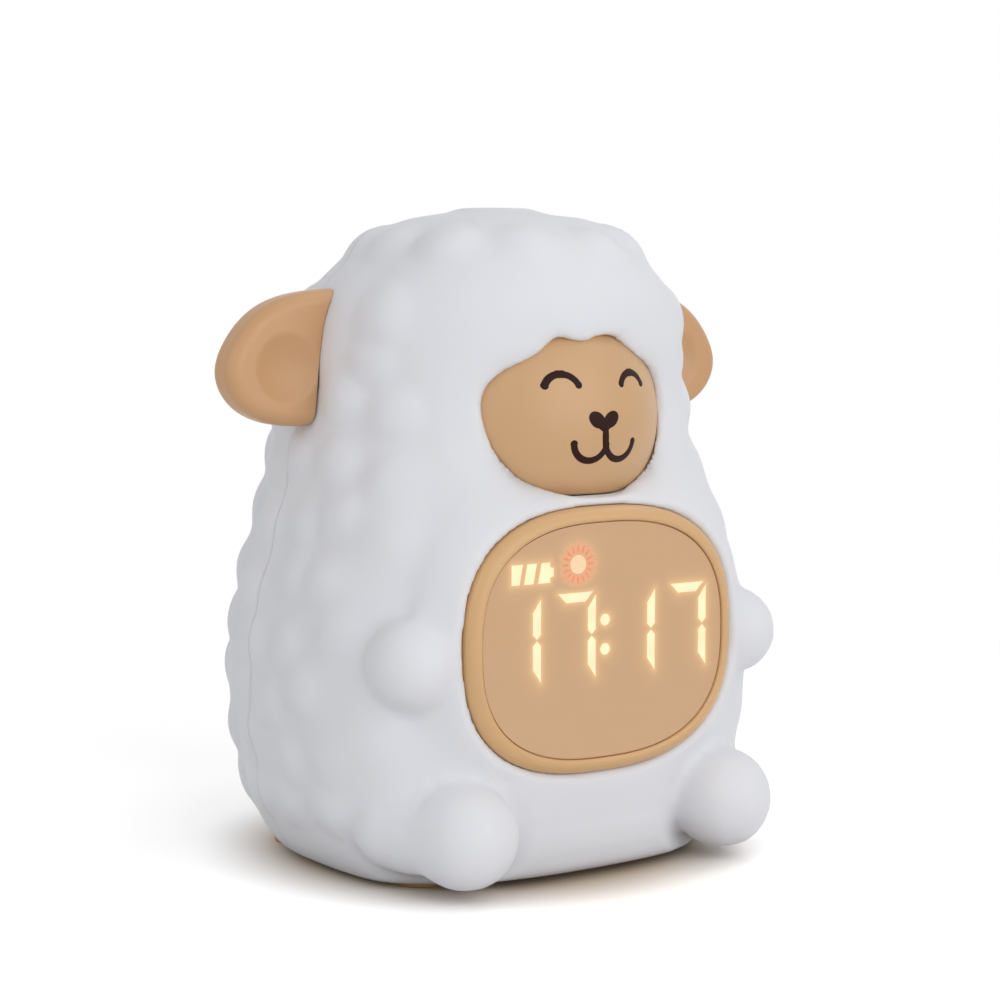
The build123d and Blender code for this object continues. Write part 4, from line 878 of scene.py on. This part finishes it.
# %% The bezel's section
BEZEL_RIM = BEZEL_HALF_WIDTH - LENS_HALF_WIDTH - WINDOW_GAP      # mm, width of the ring
BEZEL_CREST = 2.5           # mm from the outline to the crest
BEZEL_SWELL = 2.4           # mm that the crest stands before the edge
SWELL_POWER = 1.7           # 2 would be a quarter circle, 1 a chamfer
BEZEL_BACK = (AXIS_Y - bezel_high.y) / MM
section = [(0.0, BEZEL_BACK), (0.0, (BEZEL_BACK + BEZEL_EDGE_DEPTH) / 2)]     # mm inwards, depth
for step in range(11):
    turn = pi / 2 * step / 10
    section.append((BEZEL_CREST * (1 - cos(turn) ** (2 / SWELL_POWER)),
                    BEZEL_EDGE_DEPTH + BEZEL_SWELL * sin(turn) ** (2 / SWELL_POWER)))
crest_depth = BEZEL_EDGE_DEPTH + BEZEL_SWELL
section += [(BEZEL_RIM - 0.35, crest_depth - 0.1), (BEZEL_RIM - 0.1, crest_depth - 0.25),
            (BEZEL_RIM, crest_depth - 0.55), (BEZEL_RIM, WINDOW_FRONT - 0.65),
            (BEZEL_RIM + 1.5, WINDOW_FRONT - 0.7), (BEZEL_RIM + 1.5, WINDOW_FRONT - 2.1),
            (BEZEL_RIM, WINDOW_FRONT - 2.15), (BEZEL_RIM, BEZEL_BACK)]
print("bezel", round(BEZEL_RIM, 2), "mm wide,", len(section), "points in its section")

# %% Bend a torus to the bezel
RING_STEPS = 240
deselect()
bpy.ops.mesh.primitive_torus_add(major_segments=RING_STEPS, minor_segments=len(section),
                                 rotation=(pi / 2, 0, 0))
bezel_ring = added("bezel_ring")
for vertex in bezel_ring.data.vertices:
    step, point = divmod(vertex.index, len(section))
    inwards, depth = section[point]
    angle = 2 * pi * step / RING_STEPS
    reach = superellipse_reach(angle, BEZEL_HALF_WIDTH - inwards, BEZEL_HALF_HEIGHT - inwards)
    vertex.co = at(reach * cos(angle), depth, BEZEL_MIDDLE.z / MM + reach * sin(angle))
edit(bezel_ring, lambda: bpy.ops.mesh.normals_make_consistent(inside=False))
bpy.ops.object.shade_smooth_by_angle(angle=radians(50))
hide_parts("display_bezel")
finish_piece(bezel_ring, "clock", bezel_abs)

# %% [markdown]
# ## Lit bars, battery and sun
# A digit's bars are cut at a slant where they would meet the next bar, and pointed in the middle
# of the digit. The time shown is 17:17, which needs only right-hand bars and tops. The lit shapes
# are thin plates just proud of the window, as bright as they look through it.

# %% Sizes of what is lit
GLOW_DEPTH = WINDOW_FRONT + 0.03
FLAT_THICKNESS = 0.05       # mm, of lit shapes and printed signs
BAR_RIGHTS = [-16.35, -2.65, 12.65, 26.25]      # mm, the digits' right edges
DIGIT_Z, DIGIT_HEIGHT, DIGIT_WIDTH = 52.1, 18.0, 9.4
STROKE, BAR_GAP = 1.95, 0.35
SLANT = 1.35                # height of an end's slant, in strokes
END_GAP = BAR_GAP + 0.4     # mm from a digit's top to its side bar


def plate_at(name, x, z, width, height):
    """A thin upright plate in front of the window, from a plane."""
    deselect()
    bpy.ops.mesh.primitive_plane_add(size=1.0, location=at(x, GLOW_DEPTH, z), rotation=(pi / 2, 0, 0))
    bpy.context.object.scale = (width * MM, height * MM, 1.0)
    return added(name)


def disc_at(name, x, z, radius, depth=GLOW_DEPTH, points=32, filled=True):
    """An upright disc, or only its outline."""
    deselect()
    bpy.ops.mesh.primitive_circle_add(vertices=points, radius=radius * MM,
                                      fill_type="NGON" if filled else "NOTHING",
                                      location=at(x, depth, z), rotation=(pi / 2, 0, 0))
    return added(name)


def pull_in(piece, wanted, direction, share):
    """Scale the chosen side of a plate along one direction, about its own middle."""
    select_vertices(piece, wanted)
    bpy.ops.transform.resize(value=tuple(share if axis == direction else 1.0 for axis in "XYZ"))
    bpy.ops.object.mode_set(mode="OBJECT")


def give_thickness(piece):
    """Make a flat shape a thin plate."""
    modify(piece, "thick", "SOLIDIFY", thickness=FLAT_THICKNESS * MM, offset=0.0)
    apply_all(piece)


# %% Bars
def side_bar(right, outer_end, inner_end):
    """A right-hand bar: a slanted cut at the digit's end, a point at the digit's middle."""
    bar = plate_at("side_bar", right - STROKE / 2, (outer_end + inner_end) / 2, STROKE,
                   abs(outer_end - inner_end))
    edit(bar, lambda: bpy.ops.mesh.subdivide(number_cuts=1))
    way = 1 if outer_end > inner_end else -1
    for vertex in bar.data.vertices:
        inside = (right - vertex.co.x / MM) / STROKE        # 0 at the right edge, 1 at the left edge
        if abs(vertex.co.z / MM - outer_end) < 0.01:
            vertex.co.z -= way * inside * SLANT * STROKE * MM
        elif abs(vertex.co.z / MM - inner_end) < 0.01:
            vertex.co.z += way * abs(inside - 0.5) * STROKE * MM
    return bar


def top_bar(left, right, top):
    """The top bar, its lower side shorter."""
    bar = plate_at("top_bar", (left + right) / 2, top - STROKE / 2, right - left, STROKE)
    inner = (top - STROKE) * MM
    pull_in(bar, lambda place: abs(place.z - inner) < 0.1 * MM, "X", 1 - 2 * STROKE / (right - left))
    return bar


# %% The digits 17:17
COLON_X, COLON_RADIUS = -0.25, 1.2
digit_top, digit_bottom = DIGIT_Z + DIGIT_HEIGHT / 2, DIGIT_Z - DIGIT_HEIGHT / 2
lit = []
for number, right in zip((1, 7, 1, 7), BAR_RIGHTS):
    lit.append(side_bar(right, digit_top - END_GAP, DIGIT_Z + BAR_GAP / 2))
    lit.append(side_bar(right, digit_bottom + BAR_GAP, DIGIT_Z - BAR_GAP / 2))
    if number == 7:
        lit.append(top_bar(right - DIGIT_WIDTH, right - 2 * BAR_GAP, digit_top))
for z in (DIGIT_Z + 2.9, DIGIT_Z - 3.2):
    lit.append(disc_at("colon_dot", COLON_X, z, COLON_RADIUS))
print("lit bars and dots", len(lit))

# %% [markdown]
# The battery sign is a rectangle with a nub, cut into three by two slanted gaps: the outer sides
# stay upright and the inner sides lean with the gaps.

# %% The battery sign
BATTERY_Z, BATTERY_HEIGHT = 65.7, 4.1
LEAN = 0.8                  # mm that a slanted side leans over the battery's height
NUB_X = -13.7
for left, right, left_leans, right_leans in (
        (-23.5, -21.2, 0, 1), (-20.1, -17.8, 1, 1), (-16.6, -14.1, 1, 0)):
    middle = (left + right) / 2
    block = plate_at("battery_bar", middle, BATTERY_Z, right - left, BATTERY_HEIGHT)
    for vertex in block.data.vertices:
        upper = 1 if vertex.co.z > BATTERY_Z * MM else -1
        leans = left_leans if vertex.co.x < middle * MM else right_leans
        vertex.co.x += upper * leans * LEAN / 2 * MM
    lit.append(block)
nub = plate_at("battery_nub", NUB_X, BATTERY_Z + 0.05, 0.9, 2.3)
pull_in(nub, lambda place: place.x > NUB_X * MM, "Z", 0.7)
lit.append(nub)

warm_lights = join(lit, "lit_time_and_battery")
give_thickness(warm_lights)
finish_piece(warm_lights, "clock", warm_light)

# %% [markdown]
# The sun tells that it is day. It is a peach disc with sixteen short coral rays: one ray is made
# and the others are turned copies.

# %% The sun sign
SUN_X, SUN_Z = -7.1, 66.9
SUN_DISC, RAY_START, RAY_END, RAY_WIDTH = 1.95, 2.55, 4.1, 0.48
RAYS = 16
sun_disc = disc_at("sun_disc", SUN_X, SUN_Z, SUN_DISC, points=48)
ray = plate_at("ray", SUN_X, SUN_Z + (RAY_START + RAY_END) / 2, RAY_WIDTH, RAY_END - RAY_START)
pull_in(ray, lambda place: place.z > (SUN_Z + RAY_END - 0.7) * MM, "X", 0.45)
rays = [ray]
for step in range(1, RAYS):
    turned = copy_of(ray, "ray")
    angle = 2 * pi * step / RAYS
    for vertex in turned.data.vertices:
        x, z = vertex.co.x - SUN_X * MM, vertex.co.z - SUN_Z * MM
        vertex.co.x = SUN_X * MM + x * cos(angle) - z * sin(angle)
        vertex.co.z = SUN_Z * MM + x * sin(angle) + z * cos(angle)
    rays.append(turned)
sun_disc, sun_rays = join([sun_disc], "lit_sun_disc"), join(rays, "lit_sun_rays")
for sign, light in ((sun_disc, sun_light), (sun_rays, coral_light)):
    give_thickness(sign)
    finish_piece(sign, "clock", light)

# %% [markdown]
# ## Light that spreads in the window
# Round each lit shape the acrylic glows, brightest close by: every 0.9 mm the glow falls to about
# a third. Every point of the window gets it from its distance to the nearest lit point.

# %% Paint the glow
from mathutils.kdtree import KDTree

GLOW_REACH = 0.9 * MM
GLOW_STEP = 0.4 * MM        # between the lit points


def lit_points(piece):
    """A search tree of points along the outline of a lit piece."""
    points = []
    for one in piece.data.edges:
        start, end = (piece.data.vertices[i].co for i in one.vertices)
        parts = max(1, int((end - start).length / GLOW_STEP))
        points += [start.lerp(end, part / parts) for part in range(parts + 1)]
    tree = KDTree(len(points))
    for number, point in enumerate(points):
        tree.insert(point, number)
    tree.balance()
    return tree


for attribute, piece in (("glow", warm_lights), ("coral_glow", sun_rays)):
    nearest = lit_points(piece)
    layer = display_window.data.attributes.new(attribute, "FLOAT", "POINT")
    for vertex in display_window.data.vertices:
        layer.data[vertex.index].value = 2.718 ** (-nearest.find(vertex.co)[2] / GLOW_REACH)
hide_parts("display_lens")
finish_piece(display_window, "clock", window_acrylic)

# %% [markdown]
# ## The printed face
# The face is pad-printed: a soft silicone pad lays brown ink on the domed plate, a few hundredths
# of a millimetre thick. Here the ink is 0.12 mm, so it stays a real shape. Each stroke is a ring
# of points cut to an arc and thickened by a Skin modifier, with a small ball at each end to round
# it; then all of it is made one, pressed flat and laid on the dome.

# %% The dome that carries the print
INK = 0.12                  # mm
STROKE_DEPTH = 1.2          # mm from front to back, before it is pressed flat


def lay_on_dome(piece):
    """Press a piece drawn round y = 0 flat, and lay it on the dome."""
    for vertex in piece.data.vertices:
        raised = max(-1.0, min(1.0, vertex.co.y / (STROKE_DEPTH / 2 * MM))) * INK
        vertex.co.y = at(0, dome_depth(vertex.co.x / MM, vertex.co.z / MM) - raised, 0).y
    piece.data.update()


def oval(name, x, z, width, height, tilt):
    """A flattened ball, drawn at y = 0 and tilted in the front view by some degrees."""
    deselect()
    bpy.ops.mesh.primitive_uv_sphere_add(segments=32, ring_count=16, radius=0.5 * MM)
    piece = bpy.context.object
    piece.scale = (width, STROKE_DEPTH, height)
    piece.rotation_euler = (0, radians(-tilt), 0)
    piece.location = (x * MM, 0, z * MM)
    return added(name)


def thicken(stroke, width):
    """Make a line of points a stroke."""
    modify(stroke, "skin", "SKIN", use_smooth_shade=True)
    for number, point in enumerate(stroke.data.skin_vertices[0].data):
        point.radius = (width / 2 * MM, width / 2 * MM)
        point.use_root = number == 0
    modify(stroke, "round_off", "SUBSURF", levels=1, render_levels=1)
    apply_all(stroke)


def arc_stroke(name, x, z, radius, start, end, width, steps=60):
    """A stroke along an arc, in degrees anticlockwise from +X, drawn at y = 0."""
    deselect()
    bpy.ops.mesh.primitive_circle_add(vertices=steps * 4, radius=radius * MM,
                                      rotation=(pi / 2, 0, 0))
    stroke = added(name)

    def outside(place):
        return (degrees(atan2(place.z, place.x)) - start) % 360 > (end - start) + 0.01
    select_vertices(stroke, outside)
    bpy.ops.mesh.delete(type="VERT")
    bpy.ops.object.mode_set(mode="OBJECT")
    for vertex in stroke.data.vertices:
        vertex.co.x += x * MM
        vertex.co.z += z * MM
    thicken(stroke, width)
    ends = [oval("stroke_end", x + radius * cos(radians(a)), z + radius * sin(radians(a)),
                 width, width, 0) for a in (start, end)]
    return join([stroke] + ends, name)


# %% Eyes, nose and mouth
EYE_X, EYE_Z, EYE_RADIUS = 8.8, 101.8, 3.7
MOUTH_X, MOUTH_Z, MOUTH_RADIUS = 3.75, 91.6, 3.85
MOUTH_SHIFT = 0.8           # mm: the mouth sits a touch to the right of the middle
LINE = 1.6                  # mm, width of a stroke
PRINT_CELL = 0.11           # mm
marks = [
    arc_stroke("left_eye", -EYE_X, EYE_Z, EYE_RADIUS, 24, 158, LINE),
    arc_stroke("right_eye", EYE_X, EYE_Z, EYE_RADIUS, 22, 156, LINE),
    arc_stroke("mouth_left", MOUTH_SHIFT - MOUTH_X, MOUTH_Z, MOUTH_RADIUS, 184, 350, LINE),
    arc_stroke("mouth_right", MOUTH_SHIFT + MOUTH_X, MOUTH_Z, MOUTH_RADIUS, 190, 356, LINE),
    oval("nose_left", -1.75, 96.1, 4.4, 3.2, -35),
    oval("nose_right", 1.75, 96.1, 4.4, 3.2, 35),
    oval("nose_middle", 0.1, 94.9, 3.2, 2.4, 0),
    oval("stem", 0.5, 92.3, 1.7, 6.6, 5),
]
face_print = join(marks, "face_print")
modify(face_print, "one", "REMESH", mode="VOXEL", voxel_size=PRINT_CELL * MM)
smooth(face_print, "soften", 4)
lay_on_dome(face_print)
bpy.ops.object.shade_smooth()
finish_piece(face_print, "clock", brown_ink)

# %% [markdown]
# ## Signs on the back
# The keys' signs are printed flat: a bell for the alarm, a sun for the night light, minus and plus.
# Beside the power switch, a ring means off and a bar means on. Each sign is cut from planes and
# circles, laid a few hundredths of a millimetre proud, and rides on the key that carries it.

# %% Flat signs
SIGN_LIFT = 0.04            # mm between a key's face and the middle of the ink


def rear_bar(x, z, width, height, depth, turn=0.0):
    """A flat bar on the back, turned by some degrees in the back view."""
    bar = plate_at("bar", 0, 0, width, height)
    along, over = cos(radians(turn)), sin(radians(turn))
    for vertex in bar.data.vertices:
        u, v = vertex.co.x, vertex.co.z
        vertex.co = at(x, depth, z) + Vector((u * along - v * over, 0, u * over + v * along))
    return bar


def rear_disc(x, z, radius, depth, hole=0.0, upper_half=False):
    """A flat disc, ring or half disc on the back."""
    disc = disc_at("disc", x, z, radius, depth, filled=not hole)
    if hole:
        narrower = (hole / radius, 1, hole / radius)
        edit(disc, bpy.ops.mesh.extrude_edges_move, lambda: bpy.ops.transform.resize(
            value=narrower, center_override=at(x, depth, z)))
    if upper_half:
        for vertex in disc.data.vertices:
            vertex.co.z = max(vertex.co.z, z * MM)
    return disc


def finish_sign(parts, name, body):
    sign = join(parts, name)
    give_thickness(sign)
    finish_piece(sign, body, grey_ink)


def key_face(key):
    """The middle of a key's face: x, height and depth in mm."""
    low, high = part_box(key)
    return (low.x + high.x) / 2 / MM, (low.z + high.z) / 2 / MM, (AXIS_Y - high.y) / MM - SIGN_LIFT


# %% A sign for each key, and the switch's marks
x, z, depth = key_face("key_alarm")
bell = [rear_disc(x, z + 0.3, 1.1, depth, upper_half=True), rear_bar(x, z - 0.25, 2.2, 1.1, depth),
        rear_bar(x, z - 0.95, 3.0, 0.4, depth), rear_disc(x, z - 1.5, 0.35, depth)]
finish_sign(bell, "bell_sign", "key_alarm")
x, z, depth = key_face("key_light")
beams = [rear_bar(x + 1.55 * cos(pi * n / 4), z + 1.55 * sin(pi * n / 4), 0.7, 0.32, depth, 45 * n)
         for n in range(8)]
finish_sign([rear_disc(x, z, 0.85, depth)] + beams, "light_sign", "key_light")
x, z, depth = key_face("key_minus")
finish_sign([rear_bar(x, z, 2.6, 0.5, depth)], "minus_sign", "key_minus")
x, z, depth = key_face("key_plus")
finish_sign([rear_bar(x, z, 2.6, 0.5, depth), rear_bar(x, z + 0.775, 0.5, 1.05, depth),
             rear_bar(x, z - 0.775, 0.5, 1.05, depth)], "plus_sign", "key_plus")
x, z, depth = key_face("switch_knob")
panel_depth = (AXIS_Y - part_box("rear_panel")[1].y) / MM - SIGN_LIFT
finish_sign([rear_disc(x - 5.6, z, 0.9, panel_depth, hole=0.55),
             rear_bar(x + 8.2, z, 0.4, 1.9, panel_depth)], "switch_marks", "clock")

# %% [markdown]
# ## Camera and light
# The camera stands as for a catalogue picture, slightly above the clock's middle and to its left,
# with a long lens. A big soft lamp stands in front, a touch to the right, weaker ones come from
# the upper right and from the left, and the white room fills in.

# %% Camera
camera = bpy.data.objects.new("camera", bpy.data.cameras.new("camera"))
bpy.context.scene.collection.objects.link(camera)
camera.location = at(-280.86, 424.35, 124.41)
target = at(3.69, 2.49, 75.98)
camera.rotation_euler = (target - camera.location).to_track_quat("-Z", "Y").to_euler()
camera.data.sensor_width = 36.0
camera.data.lens = 83.0
camera.data.clip_start = 0.01
camera.data.clip_end = 20.0
bpy.context.scene.camera = camera
print("camera", tuple(round(v, 4) for v in camera.location))


# %% Lamps
def soft_lamp(name, place, aim, size, energy):
    """A square softbox, its size in metres and its energy in watts."""
    lamp = bpy.data.lights.new(name, "AREA")
    lamp.shape = "SQUARE"
    lamp.size = size
    lamp.energy = energy
    holder = bpy.data.objects.new(name, lamp)
    bpy.context.scene.collection.objects.link(holder)
    holder.location = place
    holder.rotation_euler = (aim - place).to_track_quat("-Z", "Y").to_euler()


middle = at(0, 0, 70)
soft_lamp("front_lamp", at(80, 900, 300), middle, 1.0, 4.6)
soft_lamp("top_lamp", at(420, 100, 800), middle, 0.5, 0.9)
soft_lamp("left_lamp", at(-800, 150, 500), middle, 0.8, 1.4)

# %% [markdown]
# ## Floor and room
# The floor is white paper. In a catalogue it is exposed to pure white while the shadow stays: what
# the camera (or a mirror) sees of the paper is therefore a stronger white than the paper that
# throws light back at the clock. Further off it fades into plain white light, so no edge shows.
# Close under the clock the paper carries painted shadow: a dark warm brown patch stands in for the
# contact shadow and for the warm light that the tan base and feet throw back.

# %% Sizes and colours of the floor
PAPER = 0.85                # what the paper throws back at the clock
SEEN_PAPER = 1.7            # what the camera sees of it, near the clock
NEAR, FAR = 0.16, 0.34      # metres from the clock: beyond, the seen paper is plain white
FULL_SHADOW_REACH, NO_SHADOW_REACH = 0.036, 0.068            # metres from the clock, between which the painted shadow fades
SHADOW_FORWARDS = 0.004       # metres that the painted shadow lies in front of the axis
# Painted shadow: the paper's colour right under the clock, a dark warm brown for the contact shadow
# and the warm bounced light
PAINTED_SHADOW_COLOUR = (0.34, 0.275, 0.205, 1)
ROOM_LIGHT = 0.43           # of the white walls, where 1 is what the camera sees


def seen_directly(tree):
    """1 for what the camera, a mirror or glass sees, and 0 for light that falls on things."""
    path = add_node(tree, "ShaderNodeLightPath")
    mirror = add_node(tree, "ShaderNodeMath", {
        0: path.outputs["Is Glossy Ray"], 1: path.outputs["Is Transmission Ray"]},
        operation="MAXIMUM")
    both = add_node(tree, "ShaderNodeMath", {
        0: path.outputs["Is Camera Ray"], 1: mirror.outputs[0]}, operation="MAXIMUM")
    return both.outputs[0]


# %% Floor
paper, tree, place = new_material("white_floor_paper")
seen = seen_directly(tree)
from_clock = add_node(tree, "ShaderNodeVectorMath", {
    0: place, 1: (0, AXIS_Y, 0)}, operation="DISTANCE")
far = add_node(tree, "ShaderNodeMapRange", {
    "Value": from_clock.outputs["Value"], "From Min": NEAR, "From Max": FAR},
    interpolation_type="SMOOTHSTEP")
# Painted shadow: a round patch under the clock, strongest near its middle, whatever the lamps do
from_shadow_middle = add_node(tree, "ShaderNodeVectorMath", {
    0: place, 1: (0, AXIS_Y - SHADOW_FORWARDS, 0)}, operation="DISTANCE")
painted_shadow_mask = add_node(tree, "ShaderNodeMapRange", {
    "Value": from_shadow_middle.outputs["Value"], "From Min": FULL_SHADOW_REACH, "From Max": NO_SHADOW_REACH,
    "To Min": 1.0, "To Max": 0.0}, interpolation_type="SMOOTHSTEP")
bright = add_node(tree, "ShaderNodeMapRange", {
    "Value": seen, "To Min": PAPER, "To Max": SEEN_PAPER})
# The paper's white is mixed towards the painted shadow colour where the patch lies
warm = add_node(tree, "ShaderNodeMix", {
    "Factor": painted_shadow_mask.outputs["Result"], 6: (1, 1, 1, 1), 7: PAINTED_SHADOW_COLOUR}, data_type="RGBA")
tinted = add_node(tree, "ShaderNodeVectorMath", {
    0: warm.outputs[2], "Scale": bright.outputs["Result"]}, operation="SCALE")
diffuse = add_node(tree, "ShaderNodeBsdfDiffuse", {"Color": tinted.outputs[0]})
white = add_node(tree, "ShaderNodeEmission", {"Strength": 1.0})
far_seen = add_node(tree, "ShaderNodeMath", {
    0: far.outputs["Result"], 1: seen}, operation="MULTIPLY")
mixed = add_node(tree, "ShaderNodeMixShader", {
    0: far_seen.outputs[0], 1: diffuse.outputs[0], 2: white.outputs[0]})
show(paper, mixed)
deselect()
bpy.ops.mesh.primitive_plane_add(size=2.4, location=(0, 0, 0))
floor = added("floor")
dress(floor, paper)

# %% Room
world = bpy.data.worlds.new("white_room")
bpy.context.scene.world = world
world.use_nodes = True
tree = world.node_tree
tree.nodes.clear()
level = add_node(tree, "ShaderNodeMapRange", {
    "Value": seen_directly(tree), "To Min": ROOM_LIGHT, "To Max": 1.0})
room = add_node(tree, "ShaderNodeBackground", {
    "Color": (1, 1, 1, 1), "Strength": level.outputs["Result"]})
add_node(tree, "ShaderNodeOutputWorld", {"Surface": room.outputs[0]})
bpy.context.scene.view_settings.view_transform = "Standard"
print("lamps", len(bpy.data.lights))
